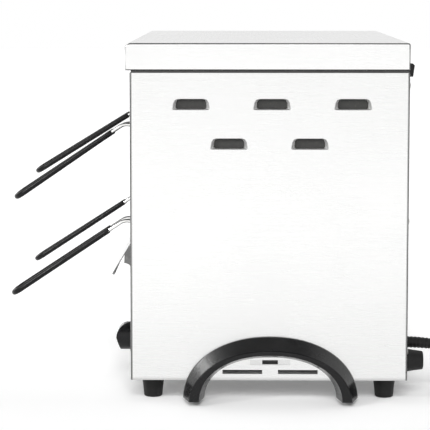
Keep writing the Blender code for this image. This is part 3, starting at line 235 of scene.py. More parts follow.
def soften(points, reach, steps=3):
    """Round every inner corner of an open row of points with a short curve."""
    out = [points[0]]
    for before, here, after in zip(points, points[1:], points[2:]):
        a = here + (before - here) * min(0.45, reach / (before - here).length)
        b = here + (after - here) * min(0.45, reach / (after - here).length)
        for step in range(steps + 1):
            t = step / steps
            out.append(a * (1 - t) ** 2 + here * 2 * t * (1 - t) + b * t * t)
    return out + [points[-1]]


# Materials

# Usual reach of a noise, and bands of the sheet steel measured inwards from its outer faces
noise_low, noise_high = 0.3, 0.7
rim_band = 0.0035
stamping_band = 0.0055
recess_band = 0.0009
skin_band = 0.0002
bottom_shade_band = (0.0032, 0.0004)
end_plate_band = 0.0035


class Tree:
    """A node tree and short calls for its nodes. An input takes a value or another node's output."""

    def __init__(self, tree):
        self.tree = tree

    def node(self, kind, **settings):
        made = self.tree.nodes.new("ShaderNode" + kind)
        for key, value in settings.items():
            setattr(made, key, value)
        return made

    def feed(self, socket, source):
        if hasattr(source, "links"):
            self.tree.links.new(source, socket)
        else:
            socket.default_value = source

    def fed(self, kind, *sources, **settings):
        """Outputs of a new node whose first inputs are fed in order."""
        made = self.node(kind, **settings)
        for socket, source in zip(made.inputs, sources):
            self.feed(socket, source)
        return made.outputs

    def split(self, vector):
        """X, Y and Z of a vector."""
        return self.fed("SeparateXYZ", vector)

    def math(self, operation, first, *others):
        """A result of one or two values, or of more taken in turn."""
        for other in others or (0.0,):
            first = self.fed("Math", first, other, operation=operation)[0]
        return first

    def size(self, value):
        """A value without its sign."""
        return self.math("ABSOLUTE", value)

    def remap(self, value, low, high, to_low, to_high):
        """Carry a value from one range to another, and hold it there."""
        return self.fed("MapRange", value, low, high, to_low, to_high)[0]


class Shade(Tree):
    """A Principled material and the few nodes that its surface detail needs."""

    def __init__(self, name, colour, roughness, metallic=0.0, **sockets):
        self.material = bpy.data.materials.new(name)
        self.material.use_nodes = True
        super().__init__(self.material.node_tree)
        self.shader = self.tree.nodes["Principled BSDF"]
        self.colour = (*colour, 1.0)
        values = {"Base Color": self.colour, "Roughness": roughness, "Metallic": metallic}
        values.update((key.replace("_", " "), value) for key, value in sockets.items())
        for key, value in values.items():
            self.shader.inputs[key].default_value = value
        self.coordinates = self.node("TexCoord").outputs["Object"]

    def texture(self, kind, scale, **sockets):
        """A texture with this many cells to the metre, or one number along each axis."""
        mapping = self.node("Mapping")
        self.feed(mapping.inputs["Vector"], self.coordinates)
        mapping.inputs["Scale"].default_value = scale if isinstance(scale, tuple) else (scale,) * 3
        made = self.node(kind)
        self.feed(made.inputs["Vector"], mapping.outputs["Vector"])
        for key, value in {"Scale": 1.0, **sockets}.items():
            made.inputs[key].default_value = value
        return made.outputs

    def noise(self, scale, detail=3.0, rough=0.55):
        return self.texture("TexNoise", scale, Detail=detail, Roughness=rough)["Fac"]

    def cells(self, scale):
        return self.texture("TexVoronoi", scale)["Distance"]

    def spread(self, noise, low, high):
        """Carry a noise from its usual reach to a range of values."""
        return self.remap(noise, noise_low, noise_high, low, high)

    def mix(self, factor, a, b):
        made = self.node("Mix", data_type="RGBA")
        self.feed(made.inputs["Factor"], factor)
        self.feed(made.inputs["A"], a)
        self.feed(made.inputs["B"], b)
        return made.outputs["Result"]

    def tint(self, factor, colour):
        """Shift the base colour towards another one where the factor is high."""
        base = self.shader.inputs["Base Color"]
        now = base.links[0].from_socket if base.links else self.colour
        self.feed(base, self.mix(factor, now, (*colour, 1.0)))

    def shift(self, factor, share):
        """Shift the base colour towards a share of the material's own colour."""
        self.tint(factor, [c * share for c in self.colour[:3]])

    def rough(self, value):
        self.feed(self.shader.inputs["Roughness"], value)

    def bump(self, height, strength, distance):
        made = self.node("Bump")
        made.inputs["Strength"].default_value = strength
        made.inputs["Distance"].default_value = distance
        self.feed(made.inputs["Height"], height)
        self.feed(self.shader.inputs["Normal"], made.outputs["Normal"])

    def edges(self, radius):
        """High where the surface turns sharply within a radius."""
        bevel = self.node("Bevel", samples=6)
        bevel.inputs["Radius"].default_value = radius
        plain = self.node("NewGeometry").outputs["Normal"]
        turn = self.fed("VectorMath", bevel.outputs["Normal"], plain, operation="DOT_PRODUCT")["Value"]
        return self.remap(turn, 0.99, 0.75, 0.0, 1.0)

    def normal(self):
        """X, Y and Z of the direction that the surface looks in."""
        return self.split(self.node("TexCoord").outputs["Normal"])

    def folds(self):
        """1 on the bent edges between the level and upright faces of folded sheet."""
        normal = self.normal()
        largest = self.math("MAXIMUM", *[self.size(normal[axis]) for axis in "XYZ"])
        return self.remap(largest, 0.992, 0.95, 0.0, 1.0)

    def rim(self):
        """1 in a narrow band along the body's front, back, bottom and top, else 0."""
        place = self.split(self.coordinates)
        reaches = []
        for axis, low, high in (("Y", body_front, body_back), ("Z", body_bottom, body_top)):
            reaches += [self.math("SUBTRACT", place[axis], low), self.math("SUBTRACT", high, place[axis])]
        return self.math("LESS_THAN", self.math("MINIMUM", *reaches), rim_band)

    def flat_up(self):
        """1 on level faces and 0 on upright ones."""
        return self.remap(self.size(self.normal()["Z"]), 0.6, 0.8, 0.0, 1.0)


def brushed(name, colour, roughness, fold_shade=0.9, front_fold_shade=1.0):
    """Sheet steel with a fine level grain, faint handling marks and duller stampings; painted shade darkens
    its folds, its bottom edge and its stamped recesses.
    """
    s = Shade(name, colour, roughness, 1.0)
    across = s.noise((9, 9, 1700), 4.0, 0.6)
    along = s.noise((9, 1700, 1700), 4.0, 0.6)
    flat = s.flat_up()
    across = s.math("MULTIPLY", across, s.math("SUBTRACT", 1.0, flat))
    grain = s.math("ADD", s.math("MULTIPLY", along, flat), across)
    cloud = s.noise(9, 3.0)
    marks = s.noise((60, 60, 45), 5.0, 0.7)
    s.shift(s.spread(grain, 0.06, 0.0), 0.82)
    s.shift(s.remap(marks, 0.62, 0.75, 0.0, 0.06), 0.7)

    rim = s.rim()
    normal = s.normal()
    place = s.split(s.coordinates)
    width = s.size(place["X"])
    outside = s.math("GREATER_THAN", width, half_width - stamping_band)
    turned_in = s.remap(s.size(normal["X"]), 0.995, 0.94, 0.0, 1.0)
    stamped = s.math("MULTIPLY", outside, turned_in, s.math("SUBTRACT", 1.0, rim))
    # Painted shade: faces in the shallow stamped recesses are darkened.
    below_skin = s.math("LESS_THAN", width, half_width - skin_band)
    sunk = s.math("MULTIPLY", s.math("GREATER_THAN", width, half_width - recess_band), below_skin)
    s.shift(s.math("MULTIPLY", sunk, s.remap(turned_in, 0.0, 1.0, 0.13, 0.6)), 0.1)

    # Painted shade: the bent folds are darkened, most in the band along the body's edges; folds that face
    # forward take only the front share of it.
    facing = s.remap(normal["Y"], -0.35, -0.10, front_fold_shade, 1.0)
    s.shift(s.math("MULTIPLY", s.folds(), facing, s.remap(rim, 0.0, 1.0, 0.15, fold_shade)), 0.05)
    # Painted shade: darker along the body's bottom edge.
    s.shift(s.remap(place["Z"], body_bottom + bottom_shade_band[0], body_bottom + bottom_shade_band[1], 0.0, 0.4), 0.2)
    base = s.spread(cloud, roughness - 0.03, roughness + 0.05)
    base = s.math("ADD", base, s.math("MULTIPLY", stamped, 0.3))
    s.rough(s.math("ADD", base, s.spread(grain, -0.04, 0.05)))
    s.bump(grain, 0.12, 0.00006)
    return s.material


def bright_wire(name, colour, roughness, top_bottom_shade=0.0, end_shade_from=0.0):
    """Bright steel with a faint haze and small pits; wires are painted darker above and below, as painted
    shade.

    Sheet may get painted shade in front of the body, on upright faces that lie further out than the given end
    distance.
    """
    s = Shade(name, colour, roughness, 1.0)
    haze = s.noise(120, 4.0)
    pits = s.cells(900)
    normal = s.normal()
    # Painted shade: faces that look up or down are darkened.
    s.shift(s.remap(s.size(normal["Z"]), 0.3, 0.65, 0.0, top_bottom_shade), 0.12)
    # Painted shade: upright ends of the sheet in front of the body are darkened.
    if end_shade_from:
        place = s.split(s.coordinates)
        end = s.math("GREATER_THAN", s.size(place["X"]), end_shade_from)
        outside = s.math("LESS_THAN", place["Y"], body_front - skin_band)
        upright = s.remap(s.size(normal["X"]), 0.5, 0.9, 0.0, 0.93)
        s.shift(s.math("MULTIPLY", end, outside, upright), 0.1)
    s.shift(s.remap(haze, 0.55, 0.8, 0.0, 0.25), 0.75)
    s.rough(s.spread(haze, roughness - 0.05, roughness + 0.08))
    s.bump(pits, 0.05, 0.00005)
    return s.material


def heated(name, colour, roughness):
    """Dull steel with straw and grey heat marks."""
    s = Shade(name, colour, roughness, 1.0)
    cloud = s.noise(14, 4.0)
    grain = s.noise((12, 900, 900), 3.0)
    s.tint(s.remap(cloud, 0.5, 0.75, 0.0, 0.5), (0.46, 0.38, 0.27))
    s.shift(s.spread(grain, 0.15, 0.0), 0.7)
    s.rough(s.spread(cloud, roughness - 0.07, roughness + 0.1))
    s.bump(grain, 0.15, 0.00006)
    return s.material


def moulded(name, colour, roughness, grain, depth, sheen_and_wear, level):
    """Moulded plastic: a fine spark-eroded grain, and its sharp edges tinted a lighter grey in patches, as
    painted highlight and wear.
    """
    s = Shade(name, colour, roughness, Specular_IOR_Level=level)
    fine = s.cells(grain)
    cloud = s.noise(35, 4.0)
    rub_and_sheen = s.noise(420, 4.0)
    s.shift(s.remap(cloud, 0.35, 0.7, 0.0, 0.35), 1.5)
    # Painted highlight and wear: sharp edges are tinted lighter grey in patches.
    s.tint(s.math("MULTIPLY", s.edges(0.0011), s.remap(rub_and_sheen, 0.35, 0.65, 0.15, 0.8)), (sheen_and_wear,) * 3)
    s.rough(s.spread(cloud, roughness - 0.06, roughness + 0.08))
    s.bump(fine, 0.22, depth)
    return s.material


def rubber(name, colour, roughness):
    """Matt rubber with a little dust in its skin."""
    s = Shade(name, colour, roughness, Specular_IOR_Level=0.25)
    dust = s.noise(160, 5.0, 0.7)
    fine = s.noise(2200, 2.0)
    s.tint(s.remap(dust, 0.5, 0.75, 0.0, 0.35), (0.025, 0.0245, 0.023))
    s.rough(s.spread(dust, roughness - 0.08, roughness + 0.1))
    s.bump(fine, 0.25, 0.00008)
    return s.material


def quartz(name):
    """Milky glass with streaks along the tube."""
    s = Shade(name, (0.90, 0.89, 0.86), 0.28, Transmission_Weight=0.55, IOR=1.46, Coat_Weight=0.3)
    streak = s.noise((18, 700, 700), 3.0)
    cloud = s.noise(90, 3.0)
    s.tint(s.remap(streak, 0.35, 0.7, 0.0, 0.3), (0.76, 0.74, 0.70))
    s.rough(s.spread(cloud, 0.22, 0.36))
    s.bump(streak, 0.08, 0.00005)
    return s.material


def ceramic(name, colour):
    """Unglazed and speckled."""
    s = Shade(name, colour, 0.6)
    speck = s.noise(900, 3.0, 0.7)
    s.tint(s.remap(speck, 0.6, 0.75, 0.0, 0.4), (0.45, 0.40, 0.33))
    s.bump(speck, 0.3, 0.0001)
    s.rough(s.spread(speck, 0.55, 0.7))
    return s.material


def lens(name):
    """Clear red plastic with small facets inside."""
    s = Shade(name, (0.55, 0.02, 0.012), 0.12, Transmission_Weight=0.35, IOR=1.5, Coat_Weight=0.5)
    facet = s.cells(900)
    s.tint(s.remap(facet, 0.2, 0.7, 0.0, 0.4), (0.75, 0.05, 0.03))
    s.bump(facet, 0.25, 0.0002)
    s.rough(s.remap(facet, 0.2, 0.7, 0.08, 0.16))
    return s.material


def print_ink(name, colour):
    """Printed ink, worn a little thin."""
    s = Shade(name, colour, 0.5)
    worn = s.noise(1500, 3.0, 0.7)
    s.tint(s.remap(worn, 0.6, 0.8, 0.0, 0.3), [min(1, c * 1.6 + 0.05) for c in colour])
    s.rough(s.spread(worn, 0.42, 0.6))
    return s.material


bright_colour = (0.90, 0.90, 0.89)
# Painted shade: the body's sheet steel is a darker copy of the lid's steel.
satin = brushed("satin_steel", (0.873, 0.873, 0.868), 0.26)
lid_satin = brushed("lid_steel", (0.93, 0.93, 0.925), 0.24, 0.9, 0.15)
bright = bright_wire("bright_steel", bright_colour, 0.14)
tong_steel = bright_wire("tong_steel", bright_colour, 0.16, 0.9)
tray_steel = bright_wire("tray_steel", bright_colour, 0.14, 0.0, chamber_half - end_plate_band)
dull = heated("dull_steel", (0.60, 0.60, 0.585), 0.42)
plastic = moulded("black_plastic", (0.0034, 0.0034, 0.0037), 0.22, 2600, 0.00005, 0.06, 0.3)
sleeve = moulded("sleeve_plastic", (0.0045, 0.0045, 0.0047), 0.24, 1500, 0.00006, 0.03, 0.2)
black_rubber = rubber("black_rubber", (0.0075, 0.0075, 0.0075), 0.5)
glass = quartz("quartz_glass")
holder = ceramic("ceramic_holder", (0.72, 0.68, 0.60))
red = lens("red_lens")
# Painted shade: a dark board material, put behind the louvres for the shade inside them.
shade_board = ceramic("insulating_board", (0.026, 0.026, 0.025))
# Painted shade: a dark grey plate material, put behind the low slots for the shade inside them.
slot_shade = ceramic("vent_guard", (0.085, 0.085, 0.083))
# Painted shade: a dark rubber for the strip in the lid's seam.
seam_shade = rubber("seam_shade_rubber", (0.06, 0.06, 0.06), 0.6)
ink = print_ink("black_ink", (0.03, 0.03, 0.032))
white_ink = print_ink("white_ink", (0.80, 0.80, 0.78))
coil_wire = heated("heating_wire", (0.30, 0.27, 0.24), 0.5)
brass = bright_wire("pin_metal", (0.86, 0.83, 0.74), 0.2)

finishes = {"stainless_satin": satin, "stainless_bright": bright, "steel_dull": dull,
            "black_plastic": plastic, "black_rubber": black_rubber, "quartz_glass": glass,
            "ceramic_holder": holder, "red_lens": red}
for entry in frame["record"]["subparts"]:
    node = nodes[entry["node"]]
    node.data.materials.clear()
    node.data.materials.append(finishes[entry["material_slot"]])
nodes["crumb_tray"].data.materials[0] = tray_steel


# Mains cord: the same route as the solids

cord_radius = 0.0045
boot_x = 0.1850
boot_length = 0.0240
exit_y = body_back + gap
exit_z = body_bottom + 0.0303
boot_droop = math.radians(7.4)
coil_radius = 0.0610
coil_pitch = 0.0098
turns_in = 2.25
turns_out = 2.0
climb_turns = 0.5
points_a_turn = 24
table_gap = 0.0002
tail_length = 0.0450
tail_steps = 4
plug_height = 0.0190
lead_shares = ((0.245, 0.889), (0.346, 0.762), (0.413, 0.627), (0.458, 0.486),
               (0.504, 0.346), (0.571, 0.210), (0.672, 0.084), (0.772, 0.020))
coil_centre = Vector((boot_x - coil_radius, body_back + 0.1200, 0))


def boot_point(share):
    """A point on the drooping middle line of the strain relief."""
    droop = math.tan(boot_droop) * boot_length / 2
    return Vector((boot_x, exit_y + boot_length * share, exit_z - droop * share * share))


def eased(share):
    """A share from 0 to 1 that starts and ends level."""
    return share * share * (3 - 2 * share)


def coil_points():
    """Inwards below, outwards on top, then out to the plug."""
    turns = turns_in + turns_out
    count = round(turns * points_a_turn)
    path = []
    for index in range(count + 1):
        turn = turns * index / count
        inward = turn if turn <= turns_in else 2 * turns_in - turn
        radius = coil_radius - coil_pitch * inward
        climb = min(max((turn - turns_in + climb_turns / 2) / climb_turns, 0), 1)
        height = cord_radius + table_gap + coil_pitch * eased(climb)
        angle = 2 * math.pi * turn
        path.append(coil_centre + Vector((radius * math.cos(angle), radius * math.sin(angle), height)))
    leaving = path[-1]
    run = tail_length - 2 * cord_radius
    for step in range(1, tail_steps + 1):
        share = step / tail_steps
        path.append(leaving + Vector((-run * share, 0, (plug_height - leaving.z) * eased(share))))
    return path + [path[-1] - Vector((2 * cord_radius, 0, 0))]


def cord_route():
    """Lead from the strain relief down to the table, then the coil."""
    heading = Vector((0, math.cos(boot_droop), -math.sin(boot_droop)))
    coil = coil_points()
    start = boot_point(1) + heading * gap
    end = coil[0] - Vector((0, 2 * cord_radius + gap, 0))
    lead = [start - heading * 0.0013, start + heading * 2 * cord_radius]
    for along, up in lead_shares:
        lead.append(Vector((boot_x, start.y + (end.y - start.y) * along, end.z + (start.z - end.z) * up)))
    return lead + [end - Vector((0, 2 * cord_radius, 0)), end] + coil


def curve_length(item):
    """Length of a curve that has no thickness yet."""
    mesh = bpy.data.meshes.new_from_object(item)
    return sum((mesh.vertices[e.vertices[0]].co - mesh.vertices[e.vertices[1]].co).length for e in mesh.edges)


route = cord_route()
cord_data = bpy.data.curves.new("mains_cord", "CURVE")
cord_data.dimensions = "3D"
cord_data.resolution_u = 6
spline = cord_data.splines.new("BEZIER")
spline.bezier_points.add(len(route) - 1)
for knot, place in zip(spline.bezier_points, route):
    knot.co = place
    knot.handle_left_type = knot.handle_right_type = "AUTO"
cord = add_object("mains_cord", cord_data)
bpy.context.view_layer.update()
cord_length = curve_length(cord)
cord_data.bevel_depth = cord_radius
cord_data.bevel_resolution = 5
cord_data.use_fill_caps = True
cord_data.materials.append(black_rubber)
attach(cord, "grill")
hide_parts("cord_lead", "cord_coil")

# Strain relief: neck, flange and a ribbed taper
neck_radius = 0.0052
neck_length = 0.0060
taper_start = 0.0055
taper_end = 0.0051
taper_first = 0.09
rib_steps = 6
rib_depth = 0.0004
rib_total = 6 * rib_steps

stations = ((-sheet - 2 * gap - neck_length, neck_radius), (-gap / 2, neck_radius), (0, 0.0064),
            (0.0003, 0.0067), (0.0010, 0.0067), (0.0013, 0.0064), (0.0017, 0.0058))
path = [Vector((boot_x, exit_y + along, exit_z)) for along, _ in stations]
radii = [radius for _, radius in stations]
for step in range(rib_total + 1):
    share = taper_first + (1 - taper_first) * step / rib_total
    groove = rib_depth if step % rib_steps in (3, 4) and step < rib_total else 0
    path.append(boot_point(share))
    radii.append(taper_start + (taper_end - taper_start) * share - groove)
bm = bmesh.new()
wire(bm, path, radii, 28)
piece("cord_boot", bm, "grill", "black_rubber", black_rubber, 35, ["strain_relief"])

# Plug beside the coil: a ribbed neck, a ridged waist and a round face
neck_ribs = 10
waist_ridges = 14
plug_start = route[-1] - Vector((gap, 0, 0))
profile = [(-0.0012, 0), (-0.0012, 0.0050)]
for step in range(neck_ribs):
    start = 0.0020 * step
    radius = 0.0056 + 0.0024 * step / (neck_ribs - 1)
    profile += [(start, radius), (start + 0.0013, radius + 0.0001)]
    profile += [(start + 0.0014, radius - 0.0007), (start + 0.0019, radius - 0.0007)]
profile += [(0.0203, 0.0085), (0.0212, 0.0110), (0.0222, 0.0122), (0.0240, 0.0125), (0.0340, 0.0125),
            (0.0352, 0.0130), (0.0362, 0.0160), (0.0368, 0.0178), (0.0378, 0.0184), (0.0488, 0.0184),
            (0.0497, 0.0180), (0.0500, 0.0170), (0.0500, 0)]
bm = bmesh.new()
turned(bm, profile, plug_start, (-1, 0, 0), 48)
for index in range(waist_ridges):
    angle = 2 * math.pi * index / waist_ridges
    out = Vector((0, math.cos(angle), math.sin(angle)))
    near = plug_start - Vector((0.0245, 0, 0)) + out * 0.0121
    rod(bm, near, near - Vector((0.0090, 0, 0)), 0.0009, 8)
plug_body = piece("plug_body", bm, "grill", "black_rubber", black_rubber, 35, ["plug"])

# Its two pins and its two earth clips
pin_profile = ((0.0495, 0), (0.0495, 0.0024), (0.0680, 0.0024), (0.0686, 0.0021), (0.0689, 0.0014),
               (0.0690, 0))
clip_inner, clip_outer = 0.0176, 0.0182
clip_half = 0.0032
bm = bmesh.new()
for hand in (-1, 1):
    turned(bm, pin_profile, plug_start + Vector((0, hand * 0.0095, 0)), (-1, 0, 0), 24)
plug_pins = piece("plug_pins", bm, "grill", "stainless_bright", brass, 35)
bm = bmesh.new()
for hand in (-1, 1):
    low, high = sorted((hand * clip_inner, hand * clip_outer))
    box(bm, plug_start + Vector((-0.0497, -clip_half, low)), plug_start + Vector((-0.0400, clip_half, high)))
earth_clips = piece("plug_earth_clips", bm, "grill", "stainless_bright", brass, 35)

# Strap that holds the coil together, where its turns lie two by two
strap_half = 0.0050
strap_corner = 0.0040
strap_thickness = 0.0008
strap_base = 0.0042
strap_low_corner = 0.0041
inner = coil_radius - coil_pitch * 1.75 - cord_radius + strap_corner
outer = coil_radius - coil_pitch * 0.75 + cord_radius - strap_corner
top = 2 * cord_radius + coil_pitch + table_gap - strap_corner
strap_centres = ((outer, top), (inner, top), (inner, strap_base), (outer, strap_base))
loops = []
for thickness in (0.0, strap_thickness):
    ring = []
    for quarter, centre in enumerate(strap_centres):
        corner = strap_corner + thickness
        if thickness and centre[1] == strap_base:
            corner = strap_low_corner
        ring += arc(centre, corner, 90 * quarter, 90 * quarter + 90, 6)
    loops.append(ring)
sections = []
for x, order in ((coil_centre.x - strap_half, loops), (coil_centre.x + strap_half, reversed(loops))):
    for ring in order:
        sections.append([Vector((x, coil_centre.y - along, height)) for along, height in ring])
bm = bmesh.new()
rings(bm, sections, closed=True)
strap = piece("cord_strap", bm, "grill", "black_rubber", black_rubber, 35)
tuple(route[0])


# Tongs

tong_wire = 0.0018
cage_wire = 0.0013
jaw_wire = 0.0012
grip_radius = 0.0027
tong_spacing = 0.2200
cage_half = 0.0850
cage_length = 0.2150
cage_rods = 5
jaw_half = cage_half - 0.0070
leg_half = 0.0165
tip_half = 0.0110
tip_radius = tip_half * 0.95
bend_radii = [0.008, 0.008, 0.006, 0.012, tip_radius, tip_radius, 0.012, 0.006, 0.008, 0.008]
levels = (body_bottom + 0.1377, body_bottom + 0.1377 + 0.0949)
bend_reach = 0.0122
bend_y = body_front - bend_reach
tip_y = body_front - 0.1220 + grip_radius
cage_front = body_front + 0.0100
cage_back = cage_front + cage_length
pivot_inset = 0.0080
pivot_y = cage_front + pivot_inset
jaw_length = cage_length - pivot_inset - 0.0050
eye_radius = cage_wire + 0.0004 + jaw_wire
weld_share = 0.7
drop = 0.0706
sleeve_step = 0.006
sleeve_ends = [(0.0, tong_wire + 0.0001), (0.0001, 0.0023), (0.0005, 0.0026), (0.0012, grip_radius)]


def bead(bm, centre, radius, stretch):
    """A small weld between two crossing wires."""
    made = bmesh.ops.create_icosphere(bm, subdivisions=2, radius=radius)["verts"]
    bmesh.ops.scale(bm, vec=stretch, verts=made)
    bmesh.ops.translate(bm, vec=centre, verts=made)


def cross_rods(bm, x, places, z, half, overhang, bead_drop, bead_radius):
    """Level rods across a cage, welded to its two side wires."""
    for y in places:
        rod(bm, (x - half - overhang, y, z), (x + half + overhang, y, z), cage_wire, 12)
        for hand in (-1, 1):
            bead(bm, (x + hand * half, y, z - bead_drop), bead_radius, (1.0, 0.95, 0.55))


def tong(number, x, z, longer, lower, sleeve_start, twist, lift):
    """One pair of tongs; each handle is bent by hand, so its reach, droop and twist differ a little.

    The twist is at the tip. At the bend, the leg on the knob's side is lifted.
    """
    body = "tong_%d" % number
    end_y = tip_y - longer
    end_z = z - drop - lower
    corners = [Vector((x + leg_half, bend_y, z + lift)), Vector((x + tip_half, end_y, end_z - twist / 2)),
               Vector((x - tip_half, end_y, end_z + twist / 2)), Vector((x - leg_half, bend_y, z))]
    right = [Vector((x + cage_half, cage_back, z)), Vector((x + cage_half, cage_front, z)),
             Vector((x + leg_half, cage_front, z))]
    left = [Vector((x - leg_half, cage_front, z)), Vector((x - cage_half, cage_front, z)),
            Vector((x - cage_half, cage_back, z))]
    bm = bmesh.new()
    wire(bm, rounded_path(right + corners + left, bend_radii, 8, closed=True), tong_wire, 16, closed=True)
    rod_z = z + (tong_wire + cage_wire) * weld_share
    places = [pivot_y + (cage_back - pivot_y) * index / cage_rods for index in range(cage_rods)]
    cross_rods(bm, x, places, rod_z, cage_half, tong_wire, 0.0012, 0.0019)
    piece(body + "_wire", bm, body, "stainless_bright", tong_steel, 40, [body + "_frame"])

    share = (sleeve_start - bend_reach) / (bend_y - end_y)
    starts = [corners[0].lerp(corners[1], share), corners[3].lerp(corners[2], share)]
    path = rounded_path([starts[0], corners[1], corners[2], starts[1]], [0, tip_radius, tip_radius, 0], 12)
    dense = [path[0]]
    for a, b in zip(path, path[1:]):
        steps = max(1, round((b - a).length / sleeve_step))
        dense += [a.lerp(b, step / steps) for step in range(1, steps + 1)]
    heading = (dense[1] - dense[0]).normalized()
    tail = (dense[-2] - dense[-1]).normalized()
    full = [dense[0] + heading * along for along, _ in sleeve_ends] + dense[1:-1]
    full += [dense[-1] + tail * along for along, _ in reversed(sleeve_ends)]
    end_radii = [radius for _, radius in sleeve_ends]
    bm = bmesh.new()
    wire(bm, full, end_radii + [grip_radius] * (len(dense) - 2) + end_radii[::-1], 20)
    piece(body + "_sleeve", bm, body, "black_plastic", sleeve, 50, [body + "_grip"])

    pivot = Vector((x, pivot_y, rod_z))

    def eye(side):
        """The curled end of a jaw's side wire, round the cage's front rod."""
        angles = [math.radians(90 + 290 * step / 18) for step in range(18, 0, -1)]
        return [pivot + Vector((side, eye_radius * math.cos(a), eye_radius * math.sin(a))) for a in angles]

    jaw_corners = [pivot + Vector((side, along, eye_radius)) for side, along in
                   ((jaw_half, 0), (jaw_half, jaw_length), (-jaw_half, jaw_length), (-jaw_half, 0))]
    sides = rounded_path(jaw_corners, [0, 0.006, 0.006, 0], 8)
    bm = bmesh.new()
    wire(bm, eye(jaw_half) + sides + eye(-jaw_half)[::-1], jaw_wire, 14)
    top_z = rod_z + eye_radius + (jaw_wire + cage_wire) * weld_share
    places = [pivot_y + jaw_length * (index + 0.5) / cage_rods for index in range(cage_rods)]
    cross_rods(bm, x, places, top_z, jaw_half, jaw_wire, 0.0011, 0.0017)
    piece(body + "_top_cage", bm, body + "_jaw", "stainless_bright", tong_steel, 40, [body + "_jaw"])


# For each pair of tongs: longer, lower, start of the sleeve, twist and lift
hand_bends = ((0.0046, 0.0007, 0.0260, 0.0, 0.0024), (0.0030, 0.0019, 0.0265, 0.0006, 0.0015),
              (0.0026, -0.0029, 0.0208, 0.0011, 0.0004), (-0.0006, 0.0006, 0.0233, 0.0014, 0.0016))
for index, bends in enumerate(hand_bends):
    tong(index + 1, (index % 2 - 0.5) * tong_spacing, levels[index // 2], *bends)

# Wire racks
rack_wire = 0.0020
rack_pitch = 0.0460
rack_places = [(index - 4) * rack_pitch for index in range(9)]
bar_inset = 0.0240
rod_inset = 0.0080
for name, level_z in (("lower", levels[0]), ("upper", levels[1])):
    bm = bmesh.new()
    rod_z = level_z - tong_wire - gap - rack_wire
    bar_z = rod_z - 2 * rack_wire * weld_share
    half = chamber_half - gap
    for y in (body_front + bar_inset, chamber_back - bar_inset):
        rod(bm, (-half, y, bar_z), (half, y, bar_z), rack_wire, 16)
        for x in rack_places:
            bead(bm, (x, y, rod_z - 0.0015), 0.0025, (0.95, 1.0, 0.55))
    rod_start, rod_end = body_front + sheet + rod_inset, chamber_back - rod_inset
    for x in rack_places:
        rod(bm, (x, rod_start, rod_z), (x, rod_end, rod_z), rack_wire, 16)
    piece("wire_rack_" + name, bm, "grill", "stainless_bright", bright, 40, ["rack_" + name])


# Lid: folded sheet, round at the front, its other edges bent to a small radius, with a hem underneath

front, rear = lid_low.y, lid_high.y
low, high = lid_low.z, lid_high.z
nose = 0.0050
heel = 0.0020
bend = 0.0015
bend_steps = 4
support = 0.0030
hem_width = 0.0050


def lid_outline(inset):
    """The lid's outline seen from the side, drawn in by an inset."""
    points = [(rear - inset, low + inset), (rear - inset, high - heel - support)]
    points += arc((rear - heel, high - heel), heel - inset, 0, 90, 4)
    points += [(rear - heel - support, high - inset), (front + nose + support, high - inset)]
    points += arc((front + nose, high - nose), nose - inset, 90, 180, 8)
    return points + [(front + inset, high - nose - support), (front + inset, low + inset)]


loops = []
for station in range(2 * bend_steps + 2):
    step = min(station, 2 * bend_steps + 1 - station)
    angle = math.radians(90 * step / bend_steps)
    along = bend * (1 - math.cos(angle))
    x = lid_low.x + along if station <= bend_steps else lid_high.x - along
    loops.append([Vector((x, y, z)) for y, z in lid_outline(bend * (1 - math.sin(angle)))])
bm = bmesh.new()
rings(bm, loops)
bmesh.ops.recalc_face_normals(bm, faces=bm.faces)
under = min(bm.faces, key=lambda f: (round(f.calc_center_median().z, 5), -f.calc_area()))
bmesh.ops.inset_region(bm, faces=[under], thickness=hem_width)
bmesh.ops.delete(bm, geom=[under], context="FACES")
bmesh.ops.solidify(bm, geom=bm.faces[:], thickness=sheet)
lid = piece("lid_sheet", bm, "grill", "stainless_satin", lid_satin, 30, ["top_cover"])
level_shading(lid)

# Dark rubber strip in the seam under the lid, painted shade for the gap
seam_low = body_top + 0.0002
seam_high = lid_low.z - 0.0002
rows = []
for inset in (0.0012, 0.0031):
    rows.append([(half_width - inset, body_front + inset), (half_width - inset, body_back - inset),
                 (-half_width + inset, body_back - inset), (-half_width + inset, body_front + inset)])
loops = []
for outer_corner, inner_corner in zip(*rows):
    loops.append([Vector((*outer_corner, seam_low)), Vector((*outer_corner, seam_high)),
                  Vector((*inner_corner, seam_high)), Vector((*inner_corner, seam_low))])
bm = bmesh.new()
rings(bm, loops, closed=True)
piece("lid_seam_shade", bm, "grill", "black_rubber", seam_shade, 35)

# Dark boards behind the louvres and dark plates behind the low slots: painted shade inside the openings
board_low = (body_front + 0.0160, deck_top + gap)
board_high = (body_back - 0.0160, body_top - sheet - gap)
slot_shade_low = (body_middle - 0.0600, body_bottom + sheet + gap)
slot_shade_high = (body_middle + 0.0600, body_bottom + 0.0180)
for hand_name, hand in hands:
    for name, inner, outer, low, high, slot, material in (
            ("insulating_board_", 0.0070, 0.0054, board_low, board_high, "ceramic_holder", shade_board),
            ("vent_guard_", 0.0060, 0.0052, slot_shade_low, slot_shade_high, "steel_dull", slot_shade)):
        near, far = sorted((hand * (half_width - inner), hand * (half_width - outer)))
        bm = bmesh.new()
        box(bm, (near, *low), (far, *high))
        piece(name + hand_name, bm, "grill", slot, material, 35)


# Heating tubes: a milky tube and its heating wire

